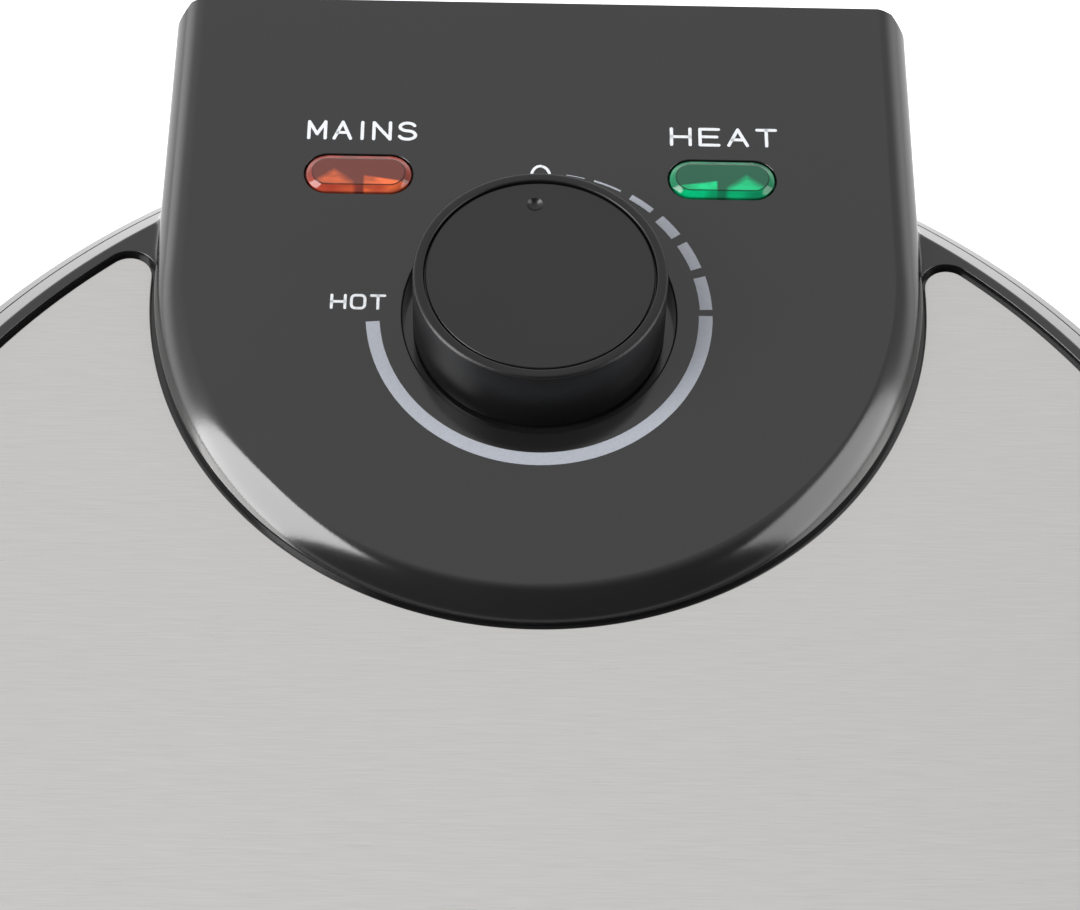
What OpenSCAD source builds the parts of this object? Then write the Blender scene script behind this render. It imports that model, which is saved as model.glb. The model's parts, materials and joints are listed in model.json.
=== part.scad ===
// Round waffle maker with a brushed steel lid and a raised control panel.
// The origin is under the middle of the whole outline, on the table. +Y points to the hinge.
// Lengths below called "behind the axis" are measured in +Y from the round body's own axis.

/* [Body] */
// Outside diameter of the lid
lid_d = 216; // [214:1:218]
// Outside diameter of the base
base_d = 214; // [212:1:216]
// Height of the parting plane between the two cooking plates
parting_z = 46; // [45.5:0.5:47]
// Height of the steel cover's top face
steel_z = 87; // [86.5:0.5:89]
// Gap between the rims of the closed lid and the base
rim_gap = 2; // [1.6:0.1:2.4]
// Wall thickness of the plastic mouldings
wall = 2.5; // [2.2:0.1:2.6]
// Height of the rubber feet below the base
foot_h = 9; // [8:0.5:9]

/* [Lid top] */
// Diameter where the flat of the rim meets the bevel
rim_flat_d = 202; // [201:0.5:204]
// Height of the bevel
bevel_h = 6.5; // [5.5:0.5:7.5]
// Diameter of the steel cover
cover_d = 197.4; // [196:0.2:198]
// Thickness of the steel cover
cover_t = 0.8; // [0.5:0.1:1]
// Step from the steel cover up to the flat of the rim
cover_step = 0.6; // [0.3:0.1:0.9]
// Width of the gap round the steel cover
cover_gap = 0.8; // [0.6:0.1:1]
// Radius of the two corners where the steel cover meets the panel
cover_corner_r = 3.5; // [2.5:0.5:4.5]

/* [Control panel] */
// Radius of the panel's round front
panel_r = 56.6; // [56:0.2:57]
// Centre of the round front, behind the axis
panel_y = 72; // [71:0.5:73]
// Rear face of the panel, behind the axis
panel_rear_y = 119.6; // [119.2:0.2:119.8]
// Chamfer on the panel's two rear corners
panel_chamfer = 2.2; // [1.5:0.1:3]
// Slope of the panel's top face, in degrees
panel_tilt = 3.85; // [3:0.05:4.5]
// Height of the panel's top face above the steel cover at the dial
panel_h = 6.2; // [6:0.1:7]
// Height of the rounding of the panel's top edge
panel_edge_h = 2.8; // [1.5:0.1:2.8]
// Width of the rounding of the panel's top edge
panel_edge_w = 4.4; // [2.4:0.1:4.6]
// Length of an indicator lens
lens_l = 15.7; // [14:0.1:16.5]
// Width of an indicator lens
lens_w = 6.5; // [6:0.1:7]
// Distance of each lens from the middle
lens_x = 27.1; // [26:0.1:29]
// Centre of the lenses, behind the axis
lens_y = 87.1; // [86:0.1:90]

/* [Dial] */
// Dial's axis, behind the axis of the body
dial_y = 63.3; // [62:0.1:64]
// Diameter of the dial at its foot
knob_d = 36.6; // [36:0.1:37]
// Height of the dial
knob_h = 12; // [11:0.5:12.5]
// Draw-in of the dial's side from its foot to its top
knob_draft = 0.15; // [0:0.05:0.4]
// Diameter of the disc in the dial's top
knob_cap_d = 32.6; // [32:0.1:33]
// Diameter of the round well that the dial stands in
well_d = 39.6; // [39:0.1:40]
// Height of the well's floor above the steel cover
well_floor = 3.5; // [3.3:0.1:4]
// Direction of the pointer at rest, in degrees before the top mark
pointer_angle = 4; // [0:1:6]

/* [Cooking plates] */
// Diameter of the round waffle
waffle_d = 178; // [176:1:178]
// Number of studs along one side of a quarter
studs_per_side = 5; // [4:1:5]
// Width of a stud
stud_w = 11; // [10:0.5:12]
// Distance from one stud to the next
stud_pitch = 16.2; // [15.5:0.1:16.5]
// Depth of a plate's cavity
cavity_h = 12.7; // [12:0.1:12.7]
// Height of the studs
stud_h = 9.5; // [8:0.5:9.5]
// Width of the ribs between the quarters
rib_w = 5; // [4:0.5:6]

/* [Hinge and handles] */
// Hinge axis, behind the axis of the body
hinge_y = 113.5; // [113.5:0.1:113.7]
// Free lift of the hinge
float_h = 4; // [3:0.5:4]
// Diameter of the hinge pins
pin_d = 5; // [4:0.5:5]
// Reach of the handles in front of the lid
handle_reach = 60; // [50:1:64]
// Thickness of the lid's handle
handle_t = 18; // [16:1:18]
// Thickness of the base's handle
low_handle_t = 16; // [14:1:16]

/* [Hidden] */
$fn = 72;
hull_fn = 28;
sliver = 0.01;
through = 1;
corner_lap = 0.03;

dark_plastic = [0.12, 0.12, 0.125];
soft_black = [0.06, 0.06, 0.065];
steel = [0.74, 0.74, 0.73];
cast_black = [0.16, 0.16, 0.17];
zinc = [0.6, 0.62, 0.64];
nylon = [0.85, 0.84, 0.8];

lid_r = lid_d / 2;
base_r = base_d / 2;
lid_rim_z = parting_z + rim_gap / 2;
base_rim_z = parting_z - rim_gap / 2;
ring_z = steel_z + cover_step;
bevel_z = ring_z - bevel_h;
seat_z = steel_z - cover_t;
deck_t = 2.4;
deck_z = seat_z - deck_t;
cover_r = cover_d / 2;
cover_cut_r = panel_r + cover_gap;
well_z = steel_z + well_floor;

gland_reach = 8;
block_rear_y = 120;
outline_front = lid_r + handle_reach;
outline_rear = block_rear_y + gland_reach;
body_y = (outline_front - outline_rear) / 2;

block_half_w = 46;
block_top_z = 37;
base_foot_r = 96;
base_knee_z = 22;
cover_sheet_t = 2.4;
cover_sheet_z = foot_h;

plate_gap = 0.3;
plate_face_z = parting_z - plate_gap;
cavity_floor_z = plate_face_z - cavity_h;
plate_floor_t = 3.5;
grid_t = 1;
plate_back_z = cavity_floor_z - plate_floor_t;
plate_wall_r = waffle_d / 2 + 5;
flange_r = base_r - wall - 0.3;
flange_t = 1.4;
shelf_r = 92;
shelf_t = 2.6;
plate_screw_r = 97.5;
plate_screw_angles = [30, 150, 270];
pan_r = 78;
pan_t = 0.8;
pan_h = 9.5;
pan_screw_r = 30;
pan_screw_angles = [30, 150, 270];
heater_ring_r = 51;
heater_r = 3.3;
heater_gap = 15;
heater_z = plate_back_z - heater_r;
heater_leg = 9;
heater_leg_r = 3.7;
heater_pin_r = 1.2;

screw_r = 1.95;
screw_hole_r = 2.0;
screw_head_r = 3.5;
screw_head_h = 2.2;

tower_x = 36;
tower_w = 8;
tower_r = 6.5;
bush_w = 7.4;
slot_w = 7.8;
slot_gap = 0.1;
ear_w = 2.4;
ear_r = panel_rear_y - hinge_y;
ear_gap = 0.6;
pocket_r = 11;
pin_r = pin_d / 2;
pin_run = 0.05;
pin_fit = 0.02;
pin_inner_x = tower_x - ear_gap - ear_w;
pin_head_r = pin_r + 1.2;
pin_head_t = 1.2;

handle_screw_x = 22;
handle_tip_x = 24;
handle_root_x = 36;
upper_handle_z = 70;
lower_handle_z = 34;
low_handle_reach = handle_reach - 10;
pad_w = 10;
pad_y = 101.2;

bushing_r = 4.7;
spindle_r = 3;
spindle_run = 0.06;
spindle_flat = 0.6;
knob_foot_z = well_z + 0.5;
knob_top_z = knob_foot_z + knob_h;
spindle_top_z = knob_top_z - 4;

// Height of the panel's sloping top face at a distance behind the body's axis.
function panel_z(y) = steel_z + panel_h + (y - dial_y) * tan(panel_tilt);

module placed() {
  translate([0, body_y, 0]) children();
}

module both_sides() {
  children();
  mirror([1, 0, 0]) children();
}

// Turns what is drawn for the base upside down about the parting plane, for the lid.
module in_lid() {
  translate([0, 0, 2 * parting_z]) mirror([0, 0, 1]) children();
}

// Stands a shape on the sloping panel: z = 0 is the panel's top face.
module on_panel(x, y) {
  translate([x, y, panel_z(y)]) rotate([panel_tilt, 0, 0]) children();
}

module ring(r_out, r_in, h) {
  difference() {
    cylinder(r = r_out, h = h);
    translate([0, 0, -through]) cylinder(r = r_in, h = h + 2 * through);
  }
}

module stadium(l, w) {
  square([l - w, w], center = true);
  for (s = [-1, 1]) translate([s * (l - w) / 2, 0]) circle(d = w);
}

// Pan-head screw with a cross recess. Its head is below z = 0 and its shank points up.
module screw(l) {
  cylinder(r = screw_r, h = l);
  translate([0, 0, -screw_head_h]) difference() {
    cylinder(r = screw_head_r, h = screw_head_h);
    for (a = [0, 90]) rotate([0, 0, a]) translate([-2.2, -0.5, -through]) cube([4.4, 1, through + 1.2]);
  }
}

module on_circle(r, angles) {
  for (a = angles) translate([r * cos(a), r * sin(a), 0]) children();
}

// Sleeved wire through a list of points.
module wire(points, r) {
  for (i = [0 : len(points) - 2]) {
    run = points[i + 1] - points[i];
    flat = norm([run[0], run[1]]);
    translate(points[i]) rotate([0, atan2(flat, run[2]), atan2(run[1], run[0])])
      cylinder(r = r, h = norm(run));
  }
  for (i = [1 : len(points) - 2]) translate(points[i]) sphere(r = r * 1.15);
}

// ---- Outlines of the lid's top ----

// The panel's outline: a round front that runs into straight sides and a flat rear with chamfered corners.
module panel_outline(inset, rear_inset) {
  r = panel_r - inset;
  rear = panel_rear_y - rear_inset;
  chamfer = panel_chamfer;
  difference() {
    translate([0, panel_y]) circle(r = r);
    translate([-lid_r, panel_y + 2 * wall]) square([lid_d, lid_r]);
  }
  polygon([
    [-r, panel_y],
    [r, panel_y],
    [r, rear - chamfer],
    [r - chamfer, rear],
    [chamfer - r, rear],
    [-r, rear - chamfer]
  ]);
}

// The steel cover's outline, or with grow, that of the recess it lies in.
module cover_outline(grow) {
  r_out = cover_r + grow;
  r_cut = cover_cut_r - grow;
  corner = cover_corner_r + grow;
  corner_x = r_cut + corner - corner_lap;
  corner_reach = r_out - corner + corner_lap;
  corner_y = sqrt(corner_reach * corner_reach - corner_x * corner_x);
  reach = r_out / (r_out - corner);
  difference() {
    circle(r = r_out, $fn = 180);
    translate([0, panel_y]) circle(r = r_cut);
    translate([-r_cut, panel_y]) square([2 * r_cut, lid_r]);
    both_sides() difference() {
      polygon([
        [r_cut - through, corner_y],
        [corner_x, corner_y],
        [corner_x, corner_y] * reach * 1.01,
        [r_cut - through, lid_r]
      ]);
      translate([corner_x, corner_y]) circle(r = corner);
    }
  }
}

// ---- Lid ----

module lid_dome() {
  difference() {
    rotate_extrude() polygon([
      [0, lid_rim_z],
      [lid_r, lid_rim_z],
      [lid_r, bevel_z],
      [rim_flat_d / 2, ring_z],
      [0, ring_z]
    ]);
    translate([0, 0, seat_z]) linear_extrude(cover_t + 2) cover_outline(cover_gap);
  }
}

module panel_slice(depth, inset) {
  on_panel(0, dial_y) translate([0, -dial_y, -depth]) linear_extrude(sliver) panel_outline(inset, 0);
}

module panel_block() {
  hull() {
    translate([0, 0, lid_rim_z]) linear_extrude(sliver) panel_outline(0, 0, $fn = 96);
    for (a = [0, 30, 60, 90])
      panel_slice(panel_edge_h * (1 - sin(a)) + sliver, panel_edge_w * (1 - cos(a)), $fn = 96);
  }
}

module under_slope(depth) {
  on_panel(0, dial_y) translate([-lid_r, -lid_r, -depth]) cube([lid_d, lid_d + wall, lid_d]);
}

// Space inside the panel: above the deck everywhere, and behind the round wall down to its own floor.
module panel_cavity() {
  difference() {
    union() {
      translate([0, 0, deck_z - 1]) linear_extrude(lid_r) panel_outline(wall, wall);
      difference() {
        translate([0, 0, lid_rim_z + wall]) linear_extrude(lid_r) panel_outline(wall, wall);
        cylinder(r = lid_r, h = lid_d);
      }
    }
    under_slope(wall);
    translate([0, dial_y, well_z - deck_t]) cylinder(d = well_d + 2 * deck_t, h = lid_r);
    both_sides() pocket_block();
  }
}

// Solid round each hinge tower's pocket, inside the panel's rear part.
module pocket_block() {
  front_y = hinge_y - pocket_r - 0.5;
  translate([pin_inner_x, front_y, lid_rim_z])
    cube([tower_w + 2 * (ear_gap + ear_w), panel_rear_y - front_y, pocket_r + deck_t]);
}

module tower_pocket() {
  x0 = tower_x - ear_gap;
  w = tower_w + 2 * ear_gap;
  translate([x0, hinge_y, parting_z]) rotate([0, 90, 0]) cylinder(r = pocket_r, h = w);
  translate([x0, hinge_y - pocket_r, block_top_z]) cube([w, 2 * pocket_r, parting_z - block_top_z]);
}

module hinge_ears() {
  for (x = [pin_inner_x, tower_x + tower_w + ear_gap]) {
    translate([x, hinge_y, parting_z]) rotate([0, 90, 0]) cylinder(r = ear_r, h = ear_w);
    translate([x, hinge_y - ear_r, parting_z]) cube([ear_w, 2 * ear_r, ear_r]);
  }
}

// Ring inside a shell that a cooking plate is screwed to.
module plate_shelf(shell_inner_r) {
  translate([0, 0, plate_back_z - shelf_t]) difference() {
    ring(shell_inner_r + 0.5, shelf_r, shelf_t);
    on_circle(plate_screw_r, plate_screw_angles) translate([0, 0, -through])
      cylinder(r = screw_hole_r, h = shelf_t + 2 * through);
  }
}

// Flat pads behind the front wall for the heads of the handle's screws.
module handle_pads(z, shell_inner_r) {
  both_sides() intersection() {
    translate([handle_screw_x - pad_w / 2, -shell_inner_r - wall, z - pad_w / 2])
      cube([pad_w, shell_inner_r + wall - pad_y, pad_w]);
    cylinder(r = shell_inner_r + wall / 2, h = z + pad_w);
  }
}

module handle_holes(z) {
  both_sides() translate([handle_screw_x, -pad_y + through, z]) rotate([90, 0, 0])
    cylinder(r = screw_hole_r, h = 20);
}

module lens_window() {
  translate([0, 0, -lens_w]) linear_extrude(2 * lens_w) stadium(lens_l + 0.4, lens_w + 0.4);
}

module lid_shell() {
  inner_r = lid_r - wall;
  color(dark_plastic) placed() difference() {
    union() {
      difference() {
        union() {
          lid_dome();
          panel_block();
        }
        translate([0, 0, lid_rim_z - through]) cylinder(r = inner_r, h = deck_z - lid_rim_z + through);
        panel_cavity();
      }
      in_lid() plate_shelf(inner_r);
      handle_pads(upper_handle_z, inner_r);
      both_sides() hinge_ears();
    }
    translate([0, dial_y, well_z]) cylinder(d = well_d, h = lid_r);
    translate([0, dial_y, deck_z]) cylinder(r = bushing_r + 0.3, h = lid_r);
    for (s = [-1, 1]) on_panel(s * lens_x, lens_y) lens_window();
    both_sides() tower_pocket();
    both_sides() translate([pin_inner_x, hinge_y, parting_z]) rotate([0, 90, 0]) {
      cylinder(r = pin_r + pin_fit, h = 25);
      translate([0, 0, -pin_head_t - 0.2]) cylinder(r = pin_head_r + 0.2, h = pin_head_t + 0.2);
    }
    translate([-20, lid_r + 1, lid_rim_z - through]) cube([40, 8, wall + 2 * through]);
    handle_holes(upper_handle_z);
  }
}

module steel_cover() {
  color(steel) placed() translate([0, 0, seat_z]) linear_extrude(cover_t) cover_outline(0);
}

// Lens with a bevelled face above the panel and a flange that holds it from below.
module lens(side) {
  flange = 1.4;
  placed() on_panel(side * lens_x, lens_y) {
    translate([0, 0, -wall - flange]) linear_extrude(flange) stadium(lens_l + 3, lens_w + 3);
    translate([0, 0, -wall]) linear_extrude(wall + 0.2) stadium(lens_l, lens_w);
    translate([0, 0, 0.2]) linear_extrude(0.4) stadium(lens_l - 1, lens_w - 1);
  }
}

module power_lens() {
  color([0.9, 0.25, 0.16, 0.8]) lens(-1);
}

module ready_lens() {
  color([0.05, 0.7, 0.4, 0.8]) lens(1);
}

lamp_r = 3;
lamp_l = 12;
holder_l = 22;
holder_w = 13;
holder_t = 1.5;
holder_floor = 13;

module lamp(side) {
  color([1, 0.75, 0.55, 0.7]) placed() on_panel(side * lens_x, lens_y)
    translate([-lamp_l / 2, 0, lamp_r + holder_t - holder_floor]) rotate([0, 90, 0]) {
      cylinder(r = lamp_r, h = lamp_l - 1);
      translate([0, 0, lamp_l - 1]) cylinder(r = 1.2, h = 1);
    }
}

module power_lamp() {
  lamp(-1);
}

module ready_lamp() {
  lamp(1);
}

module lamp_holder(side) {
  color(nylon) placed() on_panel(side * lens_x, lens_y) translate([0, 0, -holder_floor]) difference() {
    linear_extrude(holder_floor - wall) square([holder_l, holder_w], center = true);
    translate([0, 0, holder_t]) linear_extrude(holder_floor)
      square([holder_l - 2 * holder_t, holder_w - 2 * holder_t], center = true);
  }
}

module power_lamp_holder() {
  lamp_holder(-1);
}

module ready_lamp_holder() {
  lamp_holder(1);
}

// ---- Cooking plates and what is fixed to their backs, drawn for the base ----

module stud_grid() {
  first = rib_w / 2 + (stud_pitch - stud_w) / 2;
  for (sx = [0, 1], sy = [0, 1], i = [0 : studs_per_side - 1], j = [0 : studs_per_side - 1]) {
    x = first + i * stud_pitch;
    y = first + j * stud_pitch;
    if (norm([x + stud_w, y + stud_w]) < waffle_d / 2 - 4)
      mirror([sx, 0, 0]) mirror([0, sy, 0]) translate([x, y, 0]) cube([stud_w, stud_w, stud_h]);
  }
}

module grid_plate() {
  color(cast_black) difference() {
    union() {
      rotate_extrude() polygon([
        [0, plate_back_z],
        [plate_wall_r, plate_back_z],
        [plate_wall_r, plate_face_z - flange_t],
        [flange_r, plate_face_z - flange_t],
        [flange_r, plate_face_z],
        [waffle_d / 2, plate_face_z],
        [waffle_d / 2, cavity_floor_z - grid_t],
        [0, cavity_floor_z - grid_t]
      ]);
      on_circle(plate_screw_r, plate_screw_angles) translate([0, 0, plate_back_z])
        cylinder(r = 4.5, h = plate_face_z - flange_t - plate_back_z);
      on_circle(pan_screw_r, pan_screw_angles) translate([0, 0, plate_back_z - pan_h + pan_t])
        cylinder(r = 4, h = pan_h - pan_t);
    }
    on_circle(plate_screw_r, plate_screw_angles) translate([0, 0, plate_back_z - through])
      cylinder(r = screw_hole_r, h = 12);
    on_circle(pan_screw_r, pan_screw_angles) translate([0, 0, plate_back_z - pan_h])
      cylinder(r = screw_hole_r, h = pan_h);
  }
}

// Studs and ribs of the plate, on the top layer of its floor.
module grid_studs() {
  r = waffle_d / 2 - 0.05;
  color(cast_black) {
    translate([0, 0, cavity_floor_z - grid_t]) cylinder(r = r, h = grid_t);
    translate([0, 0, cavity_floor_z - sliver]) stud_grid();
    intersection() {
      for (a = [0, 90]) rotate([0, 0, a]) translate([-r, -rib_w / 2, cavity_floor_z - sliver])
        cube([2 * r, rib_w, stud_h]);
      cylinder(r = r, h = parting_z);
    }
  }
}

module heating_element() {
  color(zinc) {
    translate([0, 0, heater_z]) rotate([0, 0, 90 + heater_gap])
      rotate_extrude(angle = 360 - 2 * heater_gap) translate([heater_ring_r, 0]) circle(r = heater_r);
    on_circle(heater_ring_r, [90 - heater_gap, 90 + heater_gap]) {
      translate([0, 0, heater_z - heater_leg]) cylinder(r = heater_leg_r, h = heater_leg + 1.5);
      translate([0, 0, heater_z - heater_leg - 4]) cylinder(r = heater_pin_r, h = 5);
    }
  }
}

module reflector() {
  color(zinc) translate([0, 0, plate_back_z - pan_h]) difference() {
    union() {
      cylinder(r = pan_r, h = pan_t);
      ring(pan_r, pan_r - pan_t, pan_h);
    }
    on_circle(pan_screw_r, pan_screw_angles) translate([0, 0, -through])
      cylinder(r = screw_hole_r, h = pan_t + 2 * through);
    on_circle(heater_ring_r, [90 - heater_gap, 90 + heater_gap]) translate([0, 0, -through])
      cylinder(r = heater_leg_r + 0.5, h = pan_t + 2 * through);
  }
}

module reflector_screws() {
  color(steel) on_circle(pan_screw_r, pan_screw_angles) translate([0, 0, plate_back_z - pan_h]) screw(7);
}

module plate_screws() {
  color(steel) on_circle(plate_screw_r, plate_screw_angles)
    translate([0, 0, plate_back_z - shelf_t]) screw(12);
}

module lower_grid_plate() {
  placed() grid_plate();
}

module upper_grid_plate() {
  placed() in_lid() grid_plate();
}

module lower_grid_studs() {
  placed() grid_studs();
}

module upper_grid_studs() {
  placed() in_lid() grid_studs();
}

module lower_heating_element() {
  placed() heating_element();
}

module upper_heating_element() {
  placed() in_lid() heating_element();
}

module lower_reflector() {
  placed() reflector();
}

module upper_reflector() {
  placed() in_lid() reflector();
}

module lower_reflector_screws() {
  placed() reflector_screws();
}

module upper_reflector_screws() {
  placed() in_lid() reflector_screws();
}

module lower_plate_screws() {
  placed() plate_screws();
}

module upper_plate_screws() {
  placed() in_lid() plate_screws();
}

// ---- Handles ----

// Grip that fits the round wall behind it, with pilot holes for its two screws.
module grip(z, t, reach, wall_r) {
  difference() {
    hull() both_sides() {
      translate([handle_root_x, -wall_r, z]) sphere(d = t, $fn = hull_fn);
      translate([handle_tip_x, -wall_r - reach + t / 2, z]) sphere(d = t, $fn = hull_fn);
    }
    translate([0, 0, z - t]) cylinder(r = wall_r + 0.08, h = 2 * t, $fn = 180);
    handle_holes(z);
  }
}

module handle_screws(z) {
  color(steel) both_sides() translate([handle_screw_x, -pad_y, z]) rotate([90, 0, 0]) screw(18);
}

module upper_handle() {
  color(soft_black) placed() grip(upper_handle_z, handle_t, handle_reach, lid_r);
}

module lower_handle() {
  color(soft_black) placed() grip(lower_handle_z, low_handle_t, low_handle_reach, base_r);
}

module upper_handle_screws() {
  placed() handle_screws(upper_handle_z);
}

module lower_handle_screws() {
  placed() handle_screws(lower_handle_z);
}

// ---- Thermostat and dial ----

thermostat_size = [24, 20, 11];
bracket_t = 1.2;
bracket_z = 2 * parting_z - plate_back_z + pan_h;
thermostat_z = bracket_z + bracket_t;
bushing_z = thermostat_z + thermostat_size[2];
nut_t = 2.2;

module thermostat_body() {
  color(nylon) placed() translate([0, dial_y, 0]) difference() {
    union() {
      translate([-thermostat_size[0] / 2, -thermostat_size[1] / 2, thermostat_z]) cube(thermostat_size);
      translate([0, 0, bushing_z - through])
        cylinder(r = bushing_r, h = well_z + nut_t + 0.8 - bushing_z + through);
    }
    translate([0, 0, thermostat_z + 5]) cylinder(r = spindle_r + spindle_run, h = lid_r);
  }
}

module thermostat_bracket() {
  depth = thermostat_size[1];
  color(zinc) placed() translate([-20, dial_y - depth / 2, bracket_z]) difference() {
    cube([40, depth, bracket_t]);
    for (x = [4, 36]) translate([x, depth / 2, -through])
      cylinder(r = screw_hole_r, h = bracket_t + 2 * through);
  }
}

module thermostat_nut() {
  color(zinc) placed() translate([0, dial_y, well_z]) difference() {
    cylinder(r = 7.5, h = nut_t, $fn = 6);
    translate([0, 0, -through]) cylinder(r = bushing_r + 0.02, h = nut_t + 2 * through);
  }
}

module spindle_section(r, flat) {
  difference() {
    circle(r = r);
    translate([-r, r - flat]) square([2 * r, 2 * flat]);
  }
}

module thermostat_spindle() {
  shoulder_z = knob_foot_z + 3.4;
  color(zinc) placed() translate([0, dial_y, 0]) {
    translate([0, 0, thermostat_z + 5.2]) cylinder(r = spindle_r, h = shoulder_z - thermostat_z - 5.2);
    translate([0, 0, shoulder_z]) linear_extrude(spindle_top_z - shoulder_z)
      spindle_section(spindle_r, spindle_flat);
  }
}

knob_wall = 2;
cap_t = 1.2;
cap_depth = 0.25;
hub_r = 5.6;

module knob() {
  foot_r = knob_d / 2;
  top_r = foot_r - knob_draft;
  edge = 0.5;
  cap_floor_z = knob_h - cap_t - cap_depth;
  inner_top_z = cap_floor_z - knob_wall;
  color(soft_black) placed() translate([0, dial_y, knob_foot_z]) difference() {
    union() {
      difference() {
        rotate_extrude() polygon([
          [0, 0],
          [foot_r, 0],
          [top_r, knob_h - edge],
          [top_r - edge, knob_h],
          [0, knob_h]
        ]);
        translate([0, 0, -through]) cylinder(r = foot_r - knob_wall, h = inner_top_z + through);
      }
      translate([0, 0, 3.4]) cylinder(r = hub_r, h = inner_top_z - 3.4 + sliver);
    }
    translate([0, 0, cap_floor_z]) cylinder(d = knob_cap_d + 0.6, h = knob_h);
    translate([0, 0, 3.4 - through]) linear_extrude(spindle_top_z - knob_foot_z - 3.4 + through + 0.1)
      spindle_section(spindle_r + 0.02, spindle_flat);
  }
}

module knob_cap() {
  cap_z = knob_top_z - cap_t - cap_depth;
  color(dark_plastic) placed() translate([0, dial_y, cap_z]) difference() {
    union() {
      cylinder(d = knob_cap_d, h = cap_t);
      cylinder(d = knob_cap_d + 0.55, h = cap_t / 2);
    }
    rotate([0, 0, pointer_angle]) translate([0, 12.4, cap_t + 0.9]) sphere(r = 1.5);
  }
}

fuse_y = 4;

module thermal_fuse() {
  color(nylon) placed() translate([-40, fuse_y, bracket_z + 2]) rotate([0, 90, 0]) {
    cylinder(r = 2, h = 14);
    translate([0, 0, -6]) cylinder(r = 0.6, h = 26);
  }
}

module fuse_clip() {
  color(zinc) placed() translate([-36, fuse_y, bracket_z]) difference() {
    translate([0, -7, 0]) cube([6, 14, 5]);
    translate([-through, 0, 2]) rotate([0, 90, 0]) cylinder(r = 2.05, h = 6 + 2 * through);
    translate([-through, -2.05, -through]) cube([8, 4.1, 3]);
    for (y = [-8, 3.2]) translate([-through, y, 1]) cube([8, 4.8, 5]);
  }
}

// ---- Base ----

module block_outline(inset) {
  half = block_half_w - inset;
  rear = block_rear_y - inset;
  corner = 5;
  translate([-half, 60]) square([2 * half, rear - corner - 60]);
  translate([corner - half, 60]) square([2 * (half - corner), rear - 60]);
  both_sides() translate([half - corner, rear - corner]) circle(r = corner);
}

module base_bowl(inset) {
  knee_r = base_r - inset;
  rotate_extrude() polygon([
    [0, foot_h],
    [base_foot_r - inset, foot_h],
    [knee_r, base_knee_z],
    [knee_r, base_rim_z],
    [0, base_rim_z]
  ]);
}

module hinge_tower() {
  slot_low = parting_z - bush_w / 2 - slot_gap;
  difference() {
    translate([tower_x, 0, 0]) {
      translate([0, hinge_y - tower_r, base_knee_z])
        cube([tower_w, 2 * tower_r, parting_z + float_h - base_knee_z]);
      translate([0, hinge_y, parting_z + float_h]) rotate([0, 90, 0]) cylinder(r = tower_r, h = tower_w);
    }
    translate([tower_x - through, hinge_y - slot_w / 2, slot_low])
      cube([tower_w + 2 * through, slot_w, bush_w + float_h + 2 * slot_gap]);
  }
}

cover_screw_r = 85;
cover_screw_angles = [0, 180, 250, 290];
cover_boss_r = 4;

module cover_bosses() {
  h = plate_back_z - shelf_t - cover_sheet_z - cover_sheet_t;
  for (a = cover_screw_angles)
    rotate([0, 0, a]) translate([cover_screw_r, 0, cover_sheet_z + cover_sheet_t]) {
      cylinder(r = cover_boss_r, h = h);
      translate([0, -1.2, 3]) cube([base_foot_r - cover_screw_r - 1, 2.4, h - 3]);
      translate([0, -1.2, h - 4]) cube([base_r - cover_screw_r - 1, 2.4, 4]);
    }
}

module base_shell() {
  inner_r = base_r - wall;
  color(dark_plastic) placed() difference() {
    union() {
      difference() {
        union() {
          base_bowl(0);
          translate([0, 0, foot_h]) linear_extrude(block_top_z - foot_h) block_outline(0);
        }
        translate([0, 0, -sliver]) base_bowl(wall);
        translate([0, 0, -through]) cylinder(r = base_foot_r - wall, h = foot_h + 2 * through);
        translate([0, 0, base_knee_z]) cylinder(r = inner_r, h = parting_z);
        translate([0, 0, foot_h - through]) difference() {
          linear_extrude(block_top_z - foot_h + through - wall) block_outline(wall);
          translate([0, 0, plate_back_z - shelf_t - foot_h]) cylinder(r = base_r, h = parting_z);
        }
      }
      plate_shelf(inner_r);
      cover_bosses();
      handle_pads(lower_handle_z, inner_r);
      both_sides() hinge_tower();
    }
    on_circle(cover_screw_r, cover_screw_angles) cylinder(r = screw_hole_r, h = 22);
    handle_holes(lower_handle_z);
    translate([0, block_rear_y - wall - through, gland_z]) rotate([-90, 0, 0])
      cylinder(r = gland_r + 0.05, h = wall + 2 * through);
    translate([-20, hinge_y - 4, block_top_z - wall - through]) cube([40, 8, wall + 2 * through]);
  }
}

foot_r = 8;
foot_stem_r = 2.5;
foot_front = [55, -60];
foot_rear = [32, 103];

module foot_points() {
  both_sides() {
    translate(foot_front) children();
    translate(foot_rear) children();
  }
}

module base_cover() {
  color(soft_black) placed() translate([0, 0, cover_sheet_z]) difference() {
    union() {
      cylinder(r = base_foot_r - wall - 1, h = cover_sheet_t);
      linear_extrude(cover_sheet_t) block_outline(wall + 0.4);
    }
    foot_points() translate([0, 0, -through])
      cylinder(r = foot_stem_r + 0.05, h = cover_sheet_t + 2 * through);
    on_circle(cover_screw_r, cover_screw_angles) translate([0, 0, -through]) {
      cylinder(r = screw_hole_r, h = cover_sheet_t + 2 * through);
      cylinder(r = screw_head_r + 0.3, h = 1.2 + through);
    }
    for (x = [-40 : 10 : 40]) translate([x, -22, -through]) linear_extrude(cover_sheet_t + 2 * through)
      rotate(90) stadium(34, 3);
  }
}

module cover_screws() {
  color(steel) placed() on_circle(cover_screw_r, cover_screw_angles)
    translate([0, 0, cover_sheet_z + 1.2]) screw(10);
}

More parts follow.
